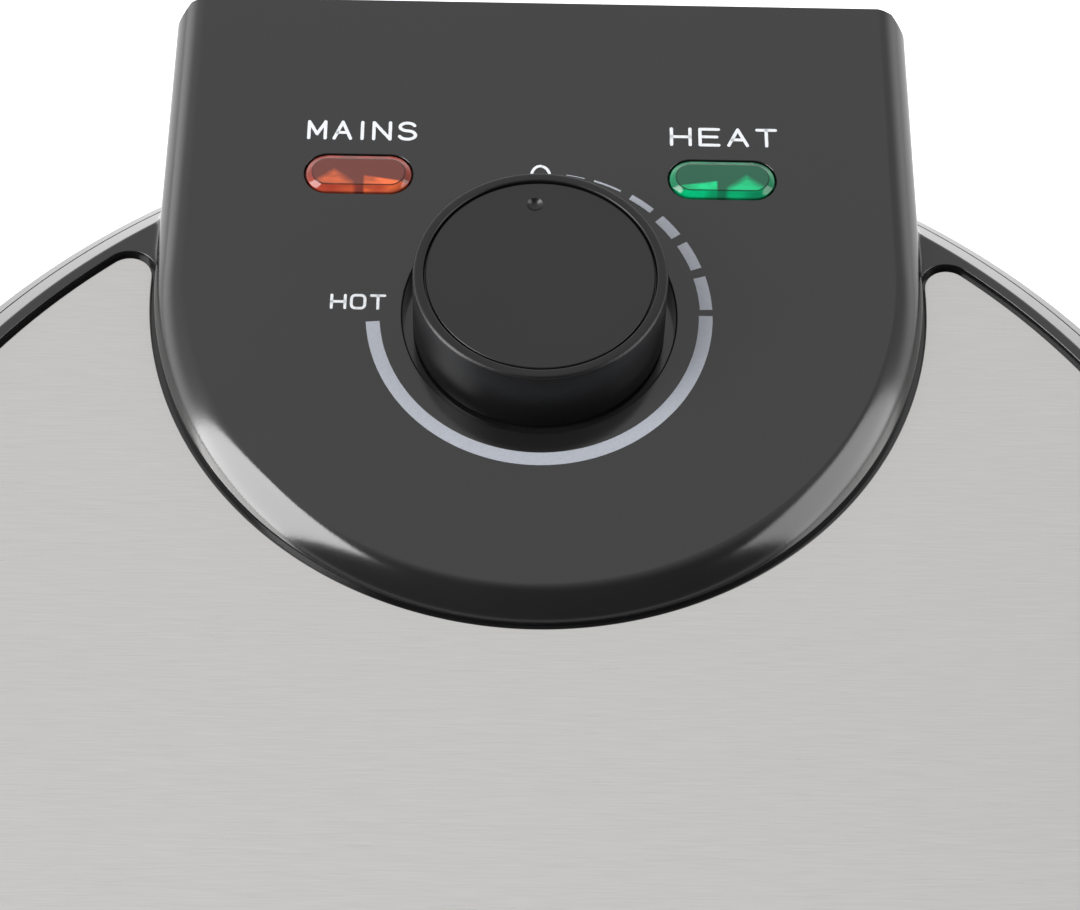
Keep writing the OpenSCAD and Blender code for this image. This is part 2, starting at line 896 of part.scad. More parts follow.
// Rubber foot with a stem that snaps through the base cover.
module foot(at) {
  color(soft_black) placed() translate([at[0], at[1], 0]) {
    rotate_extrude() polygon([
      [0, 0],
      [foot_r - 1, 0],
      [foot_r, 1.5],
      [foot_r - 0.5, foot_h],
      [0, foot_h]
    ]);
    cylinder(r = foot_stem_r, h = foot_h + cover_sheet_t);
    translate([0, 0, foot_h + cover_sheet_t]) cylinder(r = foot_stem_r + 0.8, h = 1.4);
  }
}

module foot_front_left() {
  foot([-foot_front[0], foot_front[1]]);
}

module foot_front_right() {
  foot(foot_front);
}

module foot_rear_left() {
  foot([-foot_rear[0], foot_rear[1]]);
}

module foot_rear_right() {
  foot(foot_rear);
}

gland_z = 20;
gland_r = 6.5;
gland_bore_r = 3.7;

// Inlet for a supply cord: a flanged sleeve through the rear wall.
module cord_gland() {
  color(soft_black) placed() translate([0, block_rear_y, gland_z]) rotate([-90, 0, 0]) difference() {
    union() {
      translate([0, 0, -wall]) cylinder(r = gland_r, h = wall + 2);
      cylinder(r = gland_r + 2, h = 2);
      translate([0, 0, 2]) cylinder(r = gland_r - 1, h = gland_reach - 2);
      translate([0, 0, -wall - 1.5]) cylinder(r = gland_r + 1, h = 1.5);
    }
    translate([0, 0, -wall - 1.5 - through])
      cylinder(r = gland_bore_r, h = gland_reach + wall + 1.5 + 2 * through);
  }
}

terminal_size = [30, 12, 10];
terminal_y = 98;

module terminal_block() {
  color(nylon) placed() translate([-terminal_size[0] / 2, terminal_y, cover_sheet_z + cover_sheet_t]) {
    difference() {
      cube(terminal_size);
      for (x = [5, 15, 25]) translate([x, -through, 5]) rotate([-90, 0, 0]) cylinder(r = 1.5, h = 14);
    }
    for (x = [5, 15, 25]) translate([x, 6, terminal_size[2]]) cylinder(r = 1.8, h = 1);
  }
}

// ---- Wiring ----

wire_r = 1.3;
wire_z = 15.2;
pin_x = heater_ring_r * sin(heater_gap);
pin_y = heater_ring_r * cos(heater_gap);
pin_gap = heater_pin_r + wire_r + 0.05;

module base_wiring() {
  color([0.7, 0.66, 0.6]) placed() both_sides()
    wire([[10, terminal_y - 0.1, wire_z + 1.2], [14, 84, wire_z], [pin_x, pin_y + pin_gap, wire_z]], wire_r);
}

splice_size = [10, 7, 8];
splice_y = 109.2;
splice_z = 83;
harness_r = 2.2;

module lid_wiring() {
  lid_wire_z = 2 * parting_z - wire_z;
  top = lid_wire_z + 3;
  side = thermostat_size[0] / 2;
  rear = dial_y + thermostat_size[1] / 2;
  color([0.7, 0.66, 0.6]) placed() {
    both_sides()
      wire([[pin_x + pin_gap, pin_y, lid_wire_z], [20, 60, top], [side + wire_r, 66, top]], wire_r);
    wire([[0, rear + 0.6, top], [0, splice_y - 0.4, splice_z + 4]], harness_r);
    translate([0, splice_y + 3.7, 54]) cylinder(r = harness_r, h = splice_z - 54);
  }
}

// Block that joins the lid's wires to the lead that goes down through the hinge.
module wiring_splice() {
  color(nylon) placed() translate([-splice_size[0] / 2, splice_y, splice_z]) cube(splice_size);
}

// ---- Hinge ----

module hinge_bush(side) {
  color(nylon) placed() translate([side * (tower_x + tower_w / 2), hinge_y, parting_z]) difference() {
    cube([tower_w + 0.4, bush_w, bush_w], center = true);
    rotate([0, 90, 0]) cylinder(r = pin_r + pin_run, h = 2 * tower_w, center = true);
  }
}

module hinge_bush_left() {
  hinge_bush(-1);
}

module hinge_bush_right() {
  hinge_bush(1);
}

module hinge_pin(side) {
  span = tower_w + 2 * (ear_gap + ear_w);
  color(steel) placed() translate([side * pin_inner_x, hinge_y, parting_z]) rotate([0, side * 90, 0]) {
    translate([0, 0, -pin_head_t]) cylinder(r = pin_head_r, h = pin_head_t);
    cylinder(r = pin_r, h = span + 0.5);
  }
}

module hinge_pin_left() {
  hinge_pin(-1);
}

module hinge_pin_right() {
  hinge_pin(1);
}

base_shell();
base_cover();
cover_screws();
foot_front_left();
foot_front_right();
foot_rear_left();
foot_rear_right();
lower_grid_plate();
lower_grid_studs();
lower_heating_element();
lower_reflector();
lower_reflector_screws();
lower_plate_screws();
lower_handle();
lower_handle_screws();
terminal_block();
cord_gland();
base_wiring();
hinge_bush_left();
hinge_bush_right();
hinge_pin_left();
hinge_pin_right();
lid_shell();
steel_cover();
power_lens();
ready_lens();
power_lamp();
ready_lamp();
power_lamp_holder();
ready_lamp_holder();
upper_grid_plate();
upper_grid_studs();
upper_heating_element();
upper_reflector();
upper_reflector_screws();
upper_plate_screws();
upper_handle();
upper_handle_screws();
thermostat_body();
thermostat_bracket();
thermostat_nut();
thermal_fuse();
fuse_clip();
lid_wiring();
wiring_splice();
thermostat_spindle();
knob();
knob_cap();
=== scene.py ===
"""Round waffle maker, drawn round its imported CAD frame: lid, raised panel, dial and two lenses."""

import json
from math import atan2, cos, hypot, pi, radians, sin, sqrt, tan

import bpy
from mathutils import Matrix, Vector


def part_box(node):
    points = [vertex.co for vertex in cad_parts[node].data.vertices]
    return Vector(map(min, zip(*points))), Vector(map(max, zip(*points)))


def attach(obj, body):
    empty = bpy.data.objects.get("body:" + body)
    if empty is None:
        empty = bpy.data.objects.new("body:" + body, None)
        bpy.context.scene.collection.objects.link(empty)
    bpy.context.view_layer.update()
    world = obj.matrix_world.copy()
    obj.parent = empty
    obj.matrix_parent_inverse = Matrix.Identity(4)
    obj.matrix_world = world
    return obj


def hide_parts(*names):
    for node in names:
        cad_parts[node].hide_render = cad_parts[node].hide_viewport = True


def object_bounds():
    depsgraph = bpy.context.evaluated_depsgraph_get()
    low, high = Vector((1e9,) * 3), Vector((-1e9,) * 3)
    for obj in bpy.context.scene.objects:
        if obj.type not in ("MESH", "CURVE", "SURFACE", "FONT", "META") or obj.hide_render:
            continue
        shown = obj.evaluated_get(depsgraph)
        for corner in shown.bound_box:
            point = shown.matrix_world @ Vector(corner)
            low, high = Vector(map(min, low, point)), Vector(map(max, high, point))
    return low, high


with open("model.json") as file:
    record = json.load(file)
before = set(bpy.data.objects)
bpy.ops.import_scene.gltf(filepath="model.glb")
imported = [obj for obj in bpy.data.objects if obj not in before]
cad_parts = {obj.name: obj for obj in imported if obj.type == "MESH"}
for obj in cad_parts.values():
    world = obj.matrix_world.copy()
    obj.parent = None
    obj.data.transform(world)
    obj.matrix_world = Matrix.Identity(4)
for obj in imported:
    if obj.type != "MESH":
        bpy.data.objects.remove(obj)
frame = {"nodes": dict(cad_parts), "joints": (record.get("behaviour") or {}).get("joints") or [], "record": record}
CAD_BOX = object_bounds()

# ---- Dimensions, in millimetres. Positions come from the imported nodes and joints. ----

MM = 1000.0


def box_mm(node):
    low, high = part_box(node)
    return low * MM, high * MM


JOINTS = {j["name"]: j for j in frame["joints"]}
LID_LOW, LID_HIGH = box_mm("lid_shell")
COVER_LOW, COVER_HIGH = box_mm("steel_cover")
BASE_LOW, BASE_HIGH = box_mm("base_shell")
KNOB_LOW, KNOB_HIGH = box_mm("knob")
CAP_LOW, CAP_HIGH = box_mm("knob_cap")
LENS_LOW, LENS_HIGH = box_mm("ready_lens")

# The lid: its flat ring round the steel cover, its bevel, and the levels inside.
LID_R = (LID_HIGH.x - LID_LOW.x) / 2
BODY_Y = LID_LOW.y + LID_R
STEEL_Z = COVER_HIGH.z
RING_Z = STEEL_Z + 0.6
BEVEL_H = 6.5
FLAT_R = 101.0
COVER_R = (COVER_HIGH.x - COVER_LOW.x) / 2
COVER_GAP = 0.8
SEAT_Z = COVER_LOW.z
DECK_Z = SEAT_Z - 2.4
CORNER_R = 3.5
WALL = 2.5
EDGE_STEPS = 4
ROUND_STEPS = 420

# The raised panel with the dial's well and the two lenses.
PANEL_R = 56.6
PANEL_Y = 72.0
PANEL_REAR = LID_HIGH.y - BODY_Y
CHAMFER = 2.2
EDGE_H = 4.2  # the shoulder's height and width, and how square it is
EDGE_W = 4.6
EDGE_BEND = 1.4
TILT = radians(3.85)
DIAL_Y = JOINTS["knob_turn"]["pos_m"][1] * MM - BODY_Y
PANEL_H = 6.2
WELL_R = 19.8
WELL_Z = KNOB_LOW.z - 0.5
KNOB_R = (KNOB_HIGH.x - KNOB_LOW.x) / 2
CAP_R = 16.3
POINTER = radians(4.0)  # the dimple's turn at rest
LENS_X = (LENS_LOW.x + LENS_HIGH.x) / 2
LENS_Y = 87.1
LENS_L = 15.7
LENS_W = 6.5
INK_T = 0.035

# The hinge, the plane where lid and base meet, and the base.
HINGE_Y = JOINTS["lid_hinge"]["pos_m"][1] * MM - BODY_Y
PART_Z = JOINTS["lid_hinge"]["pos_m"][2] * MM
RIM_Z = PART_Z + 1
BASE_R = (BASE_HIGH.x - BASE_LOW.x) / 2
EAR_W = 2.4
EARS_X = (33.0, 44.6)  # the inner sides of each pair of ears
TOWER_X = (36, 44)
TOWER_R = 6.5
POCKET_X = (35.4, 44.6)
POCKET_R = 11
PIN_HOLE_R = 2.52
INLET_Z = 20


def panel_z(y):
    """Height of the sloping panel's top at y."""
    return STEEL_Z + PANEL_H + (y - DIAL_Y) * tan(TILT)


def on_panel(u, v, h):
    """Point on the sloping panel: u right of the dial's axis, v behind it up the slope, h above."""
    y = DIAL_Y + v * cos(TILT) - h * sin(TILT)
    return Vector((u, y, panel_z(DIAL_Y) + v * sin(TILT) + h * cos(TILT)))


# ---- Mesh tools: everything is drawn in millimetres from the round body's axis, then placed. ----

ON_AXIS = 1e-6


def solid(points, faces, name="tool"):
    mesh = bpy.data.meshes.new(name)
    mesh.from_pydata([tuple(p) for p in points], [], faces)
    obj = bpy.data.objects.new(name, mesh)
    bpy.context.scene.collection.objects.link(obj)
    return obj


def lofts(stacks):
    """One mesh of separate closed lofts, each through rings of equal length.

    A ring runs counterclockwise seen from the last ring's side.
    """
    points, faces = [], []
    for rings in stacks:
        start, n = len(points), len(rings[0])
        points += [p for ring in rings for p in ring]
        faces.append(tuple(start + k for k in reversed(range(n))))
        for i in range(len(rings) - 1):
            a, b = start + i * n, start + (i + 1) * n
            faces += [(a + j, a + (j + 1) % n, b + (j + 1) % n, b + j) for j in range(n)]
        faces.append(tuple(start + (len(rings) - 1) * n + k for k in range(n)))
    return solid(points, faces)


def loft(rings):
    return lofts([rings])


def revolve(profile, segments):
    """Turns a profile of (r, z) about Z.

    It runs counterclockwise from the axis back to the axis, or is a closed loop.
    """
    closed = profile[0][0] > ON_AXIS
    turns = [2 * pi * k / segments for k in range(segments)]
    points, rows = [], []
    for r, z in profile:
        if r < ON_AXIS:
            rows.append([len(points)] * segments)
            points.append((0, 0, z))
        else:
            rows.append([len(points) + k for k in range(segments)])
            points += [(r * cos(t), r * sin(t), z) for t in turns]
    faces = []
    for i in range(len(rows) if closed else len(rows) - 1):
        low, high = rows[i], rows[(i + 1) % len(rows)]
        for k in range(segments):
            m = (k + 1) % segments
            face = list(dict.fromkeys((low[k], low[m], high[m], high[k])))
            if len(face) > 2:
                faces.append(tuple(face))
    return solid(points, faces)


def rounded(corners, steps=5):
    """A polyline of (x, y, radius) with each corner rounded by its radius."""
    out = []
    last = len(corners) - 1
    for i, (x, y, r) in enumerate(corners):
        here = Vector((x, y))
        if r <= 0 or i in (0, last):
            out.append((x, y))
            continue
        to_a = (Vector(corners[i - 1][:2]) - here).normalized()
        to_b = (Vector(corners[i + 1][:2]) - here).normalized()
        half = to_a.angle(to_b) / 2
        run = r / tan(half)
        centre = here + (to_a + to_b).normalized() * (r / sin(half))
        start, end = here + to_a * run - centre, here + to_b * run - centre
        a0 = atan2(start.y, start.x)
        turn = (atan2(end.y, end.x) - a0 + pi) % (2 * pi) - pi
        for k in range(steps + 1):
            a = a0 + turn * k / steps
            out.append((centre.x + r * cos(a), centre.y + r * sin(a)))
    return out


def block(x0, x1, y0, y1, z0, z1):
    corners = [(x0, y0), (x1, y0), (x1, y1), (x0, y1)]
    return loft([[Vector((x, y, z)) for x, y in corners] for z in (z0, z1)])


def rod(radius, length, segments=96):
    return revolve([(0, 0), (radius, 0), (radius, length), (0, length)], segments)


def moved(obj, x, y, z, turn=None):
    matrix = Matrix.Translation((x, y, z))
    if turn:
        matrix = matrix @ Matrix.Rotation(radians(turn[1]), 4, turn[0])
    obj.data.transform(matrix)
    return obj


def rod_x(radius, x0, x1, y, z):
    return moved(rod(radius, x1 - x0), x0, y, z, ("Y", 90))


def rod_z(radius, z0, z1, x=0.0, y=0.0, segments=256):
    return moved(rod(radius, z1 - z0, segments), x, y, z0)


def mirrored(make):
    """The tool that make(side) gives for the right and for the left."""
    return [make(1), make(-1)]


def combine(first, *steps):
    """Adds or cuts tools in turn: each step is ("UNION" or "DIFFERENCE", tool or list of tools)."""
    tools = []
    for kind, group in steps:
        for tool in group if isinstance(group, list) else [group]:
            mod = first.modifiers.new("cut", "BOOLEAN")
            mod.operation, mod.solver, mod.object = kind, "MANIFOLD", tool
            tools.append(tool)
    graph = bpy.context.evaluated_depsgraph_get()
    graph.update()
    mesh = bpy.data.meshes.new_from_object(first.evaluated_get(graph))
    first.modifiers.clear()
    first.data = mesh
    for tool in tools:
        bpy.data.objects.remove(tool)
    return first


def placed(obj, name, body, material, replaces=(), angle=30.0):
    """Puts a finished shape in the shared frame and lets it ride on its body, smooth up to an angle."""
    obj.name = obj.data.name = name
    obj.data.transform(Matrix.Scale(1 / MM, 4) @ Matrix.Translation((0, BODY_Y, 0)))
    obj.data.materials.clear()
    obj.data.materials.append(material)
    obj.data.shade_smooth()
    obj.data.set_sharp_from_angle(angle=radians(angle))
    weighted = obj.modifiers.new("weighted", "WEIGHTED_NORMAL")
    weighted.mode, weighted.keep_sharp, weighted.weight = "FACE_AREA", True, 50
    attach(obj, body)
    if replaces:
        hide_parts(*replaces)


# ---- Materials: one node tree each, in metres of the shared frame. ----

class Finish:
    """A Principled material with helpers for its procedural detail."""

    def __init__(self, name, color, roughness, metallic=0.0, **sockets):
        self.material = bpy.data.materials.new(name)
        self.material.use_nodes = True
        self.tree = self.material.node_tree
        self.shader = self.tree.nodes["Principled BSDF"]
        self.shader.inputs["Base Color"].default_value = (*color, 1)
        self.shader.inputs["Roughness"].default_value = roughness
        self.shader.inputs["Metallic"].default_value = metallic
        for key, value in sockets.items():
            self.shader.inputs[key.replace("_", " ")].default_value = value
        self.coords = self.tree.nodes.new("ShaderNodeTexCoord").outputs["Object"]

    def link(self, source, target):
        self.tree.links.new(source, target)

    def stretched(self, scale, turn=(0, 0, 0)):
        node = self.tree.nodes.new("ShaderNodeMapping")
        node.inputs["Scale"].default_value = scale
        node.inputs["Rotation"].default_value = turn
        self.link(self.coords, node.inputs["Vector"])
        return node.outputs["Vector"]

    def noise(self, size, detail, coords=None):
        """Noise with features of about size millimetres."""
        node = self.tree.nodes.new("ShaderNodeTexNoise")
        node.inputs["Scale"].default_value = MM / size
        node.inputs["Detail"].default_value = detail
        self.link(coords or self.coords, node.inputs["Vector"])
        return node.outputs["Fac"]

    def cells(self, size):
        """Cells of about size millimetres, by the distance from their middles."""
        node = self.tree.nodes.new("ShaderNodeTexVoronoi")
        node.inputs["Scale"].default_value = MM / size
        self.link(self.coords, node.inputs["Vector"])
        return node.outputs["Distance"]

    def span(self, fac, low, high, start=0.3, end=0.7):
        """A value from low, where fac is start, to high, where it is end."""
        node = self.tree.nodes.new("ShaderNodeMapRange")
        node.inputs["From Min"].default_value = start
        node.inputs["From Max"].default_value = end
        node.inputs["To Min"].default_value = low
        node.inputs["To Max"].default_value = high
        self.link(fac, node.inputs["Value"])
        return node.outputs["Result"]

    def blend(self, fac, low, high, start=0.3, end=0.7):
        """A colour from low, where fac is start, to high, where it is end."""
        node = self.tree.nodes.new("ShaderNodeValToRGB")
        node.color_ramp.elements[0].position = start
        node.color_ramp.elements[1].position = end
        node.color_ramp.elements[0].color = (*low, 1)
        node.color_ramp.elements[1].color = (*high, 1)
        self.link(fac, node.inputs["Fac"])
        return node.outputs["Color"]

    def mix(self, fac, base, color):
        """Mixes a fixed color over the base output."""
        node = self.tree.nodes.new("ShaderNodeMix")
        node.data_type = "RGBA"
        self.link(fac, node.inputs["Factor"])
        self.link(base, node.inputs["A"])
        node.inputs["B"].default_value = (*color, 1)
        return node.outputs["Result"]

    def math(self, kind, a, b=0.0):
        """A sum or function of a and b. Each is a number or an output, and some kinds read only a."""
        node = self.tree.nodes.new("ShaderNodeMath")
        node.operation = kind
        for socket, value in zip(node.inputs, (a, b)):
            if isinstance(value, (int, float)):
                socket.default_value = value
            else:
                self.link(value, socket)
        return node.outputs["Value"]

    def to(self, socket, output):
        self.link(output, self.shader.inputs[socket])
        return self

    def bump(self, height, depth, strength):
        """Bump whose full height is depth millimetres, on top of any bump already there."""
        node = self.tree.nodes.new("ShaderNodeBump")
        node.inputs["Strength"].default_value = strength
        node.inputs["Distance"].default_value = depth / MM
        self.link(height, node.inputs["Height"])
        normal = self.shader.inputs["Normal"]
        if normal.is_linked:
            self.link(normal.links[0].from_socket, node.inputs["Normal"])
        self.link(node.outputs["Normal"], normal)
        return self


def satin_plastic(name, color, roughness, grain=0.35, depth=0.006, gloss=0.5):
    """Moulded plastic: spark-eroded grain, slow waves of the moulding, handling marks in the gloss."""
    f = Finish(name, color, roughness[0], Specular_IOR_Level=gloss)
    lighter = tuple(c * 1.12 for c in color)
    f.to("Base Color", f.blend(f.noise(18, 3), color, lighter))
    f.to("Roughness", f.span(f.noise(26, 4), roughness[0], roughness[1], 0.35, 0.65))
    f.bump(f.noise(60, 1), 0.05, 0.5)
    f.bump(f.noise(grain, 2), depth, 0.6)
    return f.material


def brushed_steel():
    """Sheet steel brushed along X: long fine lines in height, gloss and tone."""
    f = Finish("brushed_steel", (0.66, 0.655, 0.64), 0.28, metallic=1.0, Anisotropic=0.75)
    lines = f.noise(0.13, 2, f.stretched((0.02, 1.0, 1.0)))
    broad = f.noise(0.9, 2, f.stretched((0.03, 1.0, 1.0)))
    f.to("Base Color", f.blend(lines, (0.645, 0.638, 0.625), (0.715, 0.708, 0.695), 0.25, 0.75))
    f.to("Roughness", f.math("ADD", f.span(lines, -0.02, 0.03, 0.25, 0.75), f.span(broad, 0.28, 0.31)))
    tangent = f.tree.nodes.new("ShaderNodeTangent")
    tangent.direction_type, tangent.axis = "RADIAL", "Y"
    f.link(tangent.outputs["Tangent"], f.shader.inputs["Tangent"])
    f.bump(lines, 0.0015, 0.4)
    f.bump(f.noise(70, 1), 0.04, 0.35)
    return f.material


def plain_metal(name, color, roughness):
    """Small metal parts: drawn or plated, with faint dull patches."""
    f = Finish(name, color, roughness, metallic=1.0)
    darker = tuple(c * 0.8 for c in color)
    f.to("Base Color", f.blend(f.noise(4, 3), darker, color))
    f.to("Roughness", f.span(f.noise(6, 4), roughness * 0.8, roughness * 1.25))
    f.bump(f.noise(0.5, 2), 0.01, 0.4)
    return f.material


def nonstick():
    """Die-cast aluminium under a sprayed non-stick coat: slight orange peel and tiny flakes."""
    f = Finish("nonstick", (0.022, 0.022, 0.024), 0.42, Specular_IOR_Level=0.6)
    f.to("Base Color", f.blend(f.noise(0.5, 2), (0.016, 0.016, 0.018), (0.034, 0.034, 0.036), 0.45, 0.8))
    f.to("Roughness", f.span(f.noise(14, 4), 0.34, 0.5))
    f.bump(f.noise(1.6, 2), 0.02, 0.5)
    f.bump(f.noise(0.25, 2), 0.008, 0.4)
    return f.material


def rubber():
    f = Finish("foot_rubber", (0.022, 0.022, 0.022), 0.75, Specular_IOR_Level=0.3)
    f.to("Roughness", f.span(f.noise(3, 4), 0.65, 0.85))
    f.to("Base Color", f.blend(f.noise(5, 4), (0.018, 0.018, 0.018), (0.035, 0.034, 0.032)))
    f.bump(f.noise(0.4, 3), 0.03, 0.6)
    return f.material


def ceramic():
    f = Finish("ceramic", (0.78, 0.76, 0.7), 0.6)
    f.to("Base Color", f.blend(f.noise(3, 4), (0.7, 0.67, 0.6), (0.82, 0.8, 0.75)))
    f.bump(f.cells(0.5), 0.02, 0.5)
    return f.material


def nylon():
    f = Finish("nylon", (0.8, 0.78, 0.72), 0.45, Subsurface_Weight=0.1)
    f.to("Base Color", f.blend(f.noise(6, 3), (0.74, 0.72, 0.65), (0.84, 0.82, 0.77)))
    f.to("Roughness", f.span(f.noise(4, 3), 0.38, 0.55))
    f.bump(f.noise(0.5, 2), 0.01, 0.5)
    return f.material


def sleeve():
    """Braided glass-fibre sleeving: two crossing waves."""
    f = Finish("wire_sleeve", (0.66, 0.6, 0.5), 0.8, Sheen_Weight=0.3)
    waves = []
    for turn in (45, -45):
        node = f.tree.nodes.new("ShaderNodeTexWave")
        node.inputs["Scale"].default_value = 400
        f.link(f.stretched((1, 1, 1), (0, 0, radians(turn))), node.inputs["Vector"])
        waves.append(node.outputs["Fac"])
    weave = f.math("MULTIPLY", *waves)
    f.to("Base Color", f.blend(weave, (0.5, 0.44, 0.34), (0.74, 0.69, 0.6), 0.1, 0.8))
    f.bump(weave, 0.1, 0.8)
    return f.material


def glass():
    f = Finish("lamp_glass", (1.0, 0.86, 0.75), 0.05, Transmission_Weight=0.85, IOR=1.5)
    f.to("Roughness", f.span(f.noise(3, 3), 0.03, 0.12))
    return f.material


def lens_plastic(name, side, dark, rim_highlight, highlight_color):
    """Tinted acrylic over a faceted reflector, with its light painted in: a painted highlight wedge each side of
    the middle for light off the faceted reflector, a lighter painted highlight round the lens's edge, and a
    painted dark ring of shade just inside it.
    """
    f = Finish(name, dark, 0.06, Transmission_Weight=0.2, IOR=1.49)
    split = f.tree.nodes.new("ShaderNodeSeparateXYZ")
    f.link(f.coords, split.inputs["Vector"])
    # Millimetres from the lens's middle: u towards the dial, v to the rear.
    u = f.math("MULTIPLY", f.math("SUBTRACT", split.outputs["X"], side * LENS_X / MM), -side * MM)
    v = f.math("MULTIPLY", f.math("SUBTRACT", split.outputs["Y"], (LENS_Y + BODY_Y) / MM), MM)

    # The painted highlight wedge near the dial lies under a slope, the far one under a hill.
    slope = f.math("ADD", v, f.math("MULTIPLY", u, 0.16))
    near = f.math("MULTIPLY", f.span(u, 0, 1, 0.7, 1.0), f.span(slope, 1, 0, -0.75, -0.45))
    flank = f.math("MULTIPLY", f.math("ABSOLUTE", f.math("ADD", u, 3.6)), 0.75)
    hill = f.math("ADD", v, flank)
    far = f.math("MULTIPLY", f.span(u, 0.75, 0, -0.9, -0.3), f.span(hill, 1, 0, -0.6, 0.7))
    grain = f.noise(1.6, 2, f.stretched((0.35, 1.0, 1.0), (0, 0, radians(30 * side))))
    # Painted highlights: both wedges, streaked by noise.
    facet_highlights = f.math("MULTIPLY", f.math("MAXIMUM", near, far), f.span(grain, 0.45, 1.0, 0.35, 0.6))

    # The radius is taken from the straight line between the centres of the lens's two round ends.
    past = f.math("MAXIMUM", f.math("SUBTRACT", f.math("ABSOLUTE", u), (LENS_L - LENS_W) / 2), 0)
    radius = f.math("SQRT", f.math("ADD", f.math("MULTIPLY", past, past), f.math("MULTIPLY", v, v)))
    # A painted highlight round the lens's edge, patchy along its length.
    edge = f.math("MULTIPLY", f.span(radius, 0, 1, 2.3, 2.5), f.span(f.noise(5, 1), 0.25, 1.0, 0.4, 0.6))
    mixed = f.mix(edge, f.blend(facet_highlights, dark, highlight_color, 0.0, 1.0), rim_highlight)
    # A painted dark ring of shade just inside the edge's painted highlight, with no groove in the shape.
    groove = f.math("MULTIPLY", f.span(radius, 0, 1, 2.15, 2.28), f.span(radius, 1, 0, 2.32, 2.45))
    f.to("Base Color", f.mix(groove, mixed, tuple(c * 0.4 for c in dark)))
    f.to("Roughness", f.span(f.noise(2.5, 4), 0.03, 0.12))
    f.bump(f.noise(4, 2), 0.02, 0.3)
    return f.material


def ink(name, tone):
    """Print: nearly flat, with a slightly rough edge to its tone."""
    f = Finish(name, tone, 0.5)
    darker = tuple(c * 0.9 for c in tone)
    f.to("Base Color", f.blend(f.noise(0.4, 3), darker, tone, 0.3, 0.6))
    f.bump(f.noise(0.15, 2), 0.004, 0.5)
    return f.material


def make_materials():
    charcoal = (0.0098, 0.0098, 0.01)
    dark = (0.0075, 0.0075, 0.0077)
    black = (0.0052, 0.0052, 0.0054)
    return {
        "shell_plastic": satin_plastic("shell_plastic", charcoal, (0.12, 0.18), gloss=0.75),
        "cap_plastic": satin_plastic("cap_plastic", dark, (0.3, 0.4), grain=0.3),
        "knob_plastic": satin_plastic("knob_plastic", black, (0.32, 0.42), grain=0.3, depth=0.03, gloss=0.42),
        "grip_plastic": satin_plastic("grip_plastic", black, (0.38, 0.5), grain=0.5, depth=0.03),
        "gland_plastic": satin_plastic("gland_plastic", black, (0.4, 0.5), grain=0.5, depth=0.02),
        "foot_rubber": rubber(),
        "brushed_cover": brushed_steel(),
        "nonstick": nonstick(),
        "sheet_steel": plain_metal("sheet_steel", (0.62, 0.63, 0.64), 0.35),
        "heater_sheath": plain_metal("heater_sheath", (0.34, 0.31, 0.28), 0.45),
        "screw_steel": plain_metal("screw_steel", (0.6, 0.61, 0.63), 0.28),
        "brass": plain_metal("brass", (0.78, 0.6, 0.32), 0.3),
        "ceramic": ceramic(),
        "nylon": nylon(),
        "wire_sleeve": sleeve(),
        "fuse_case": plain_metal("fuse_case", (0.7, 0.7, 0.7), 0.3),
        "lamp_glass": glass(),
        "red_lens": lens_plastic("red_lens", -1, (0.17, 0.045, 0.035), (0.42, 0.05, 0.03), (1.0, 0.19, 0.06)),
        "green_lens": lens_plastic(
            "green_lens", 1, (0.014, 0.12, 0.065), (0.004, 0.26, 0.11), (0.0, 0.8, 0.3)),
        "scale_ink": ink("scale_ink", (0.39, 0.41, 0.46)),
        "word_ink": ink("word_ink", (0.75, 0.77, 0.8)),
    }


FINISH = make_materials()
for part in frame["record"]["subparts"]:
    carried = frame["nodes"][part["node"]]
    carried.data.materials.clear()
    carried.data.materials.append(FINISH[part["material_slot"]])


# ---- Lid moulding ----

def recess_outline(grow, front):
    """Outline of the steel cover (front: along the panel's round front) or of its recess's cutter."""
    r_out = COVER_R + grow
    corner = CORNER_R + grow
    centre_x = PANEL_R + COVER_GAP + CORNER_R
    reach = COVER_R - CORNER_R
    centre_y = sqrt(reach * reach - centre_x * centre_x)
    a = atan2(centre_y, centre_x)
    corner_steps, front_steps = 14, 160
    turns = [(pi / 2 + a) * k / ROUND_STEPS for k in range(ROUND_STEPS + 1)]
    half = [(r_out * sin(t), -r_out * cos(t)) for t in turns]
    turns = [a + (pi - a) * k / corner_steps for k in range(1, corner_steps + 1)]
    half += [(centre_x + corner * cos(t), centre_y + corner * sin(t)) for t in turns]
    r_cut = centre_x - corner
    inner, middle = [], []
    if front:
        turns = [pi * k / front_steps / 2 for k in range(front_steps)]
        inner = [(r_cut * cos(t), PANEL_Y - r_cut * sin(t)) for t in turns]
        middle = [(0.0, PANEL_Y - r_cut)]
    right = half[1:] + inner
    left = [(-x, y) for x, y in reversed(right)]
    return [half[0]] + right + middle + left


def flat_loft(outline, levels):
    """Solid through outline(grow) at each (z, grow)."""
    return loft([[Vector((x, y, z)) for x, y in outline(grow)] for z, grow in levels])


def edge_levels(z, radius):
    """(z, grow) of a rounded upper edge that ends at z."""
    turns = [pi / 2 * k / EDGE_STEPS for k in range(EDGE_STEPS + 1)]
    return [(z - radius * (1 - sin(t)), -radius * (1 - cos(t))) for t in turns]


def lip_levels(z, lip, grow):
    """(z, grow) of a rounded mouth that opens upwards and ends at z."""
    turns = [pi / 2 * k / EDGE_STEPS for k in range(1, EDGE_STEPS + 1)]
    return [(z - lip * (1 - sin(t)), grow + lip * (1 - cos(t))) for t in turns]


def steel_cover():
    levels = [(SEAT_Z, 0.0)] + edge_levels(STEEL_Z, 0.18)
    obj = flat_loft(lambda grow: recess_outline(grow, True), levels)
    placed(obj, "brushed_cover", "lid", FINISH["brushed_cover"], ("steel_cover",))


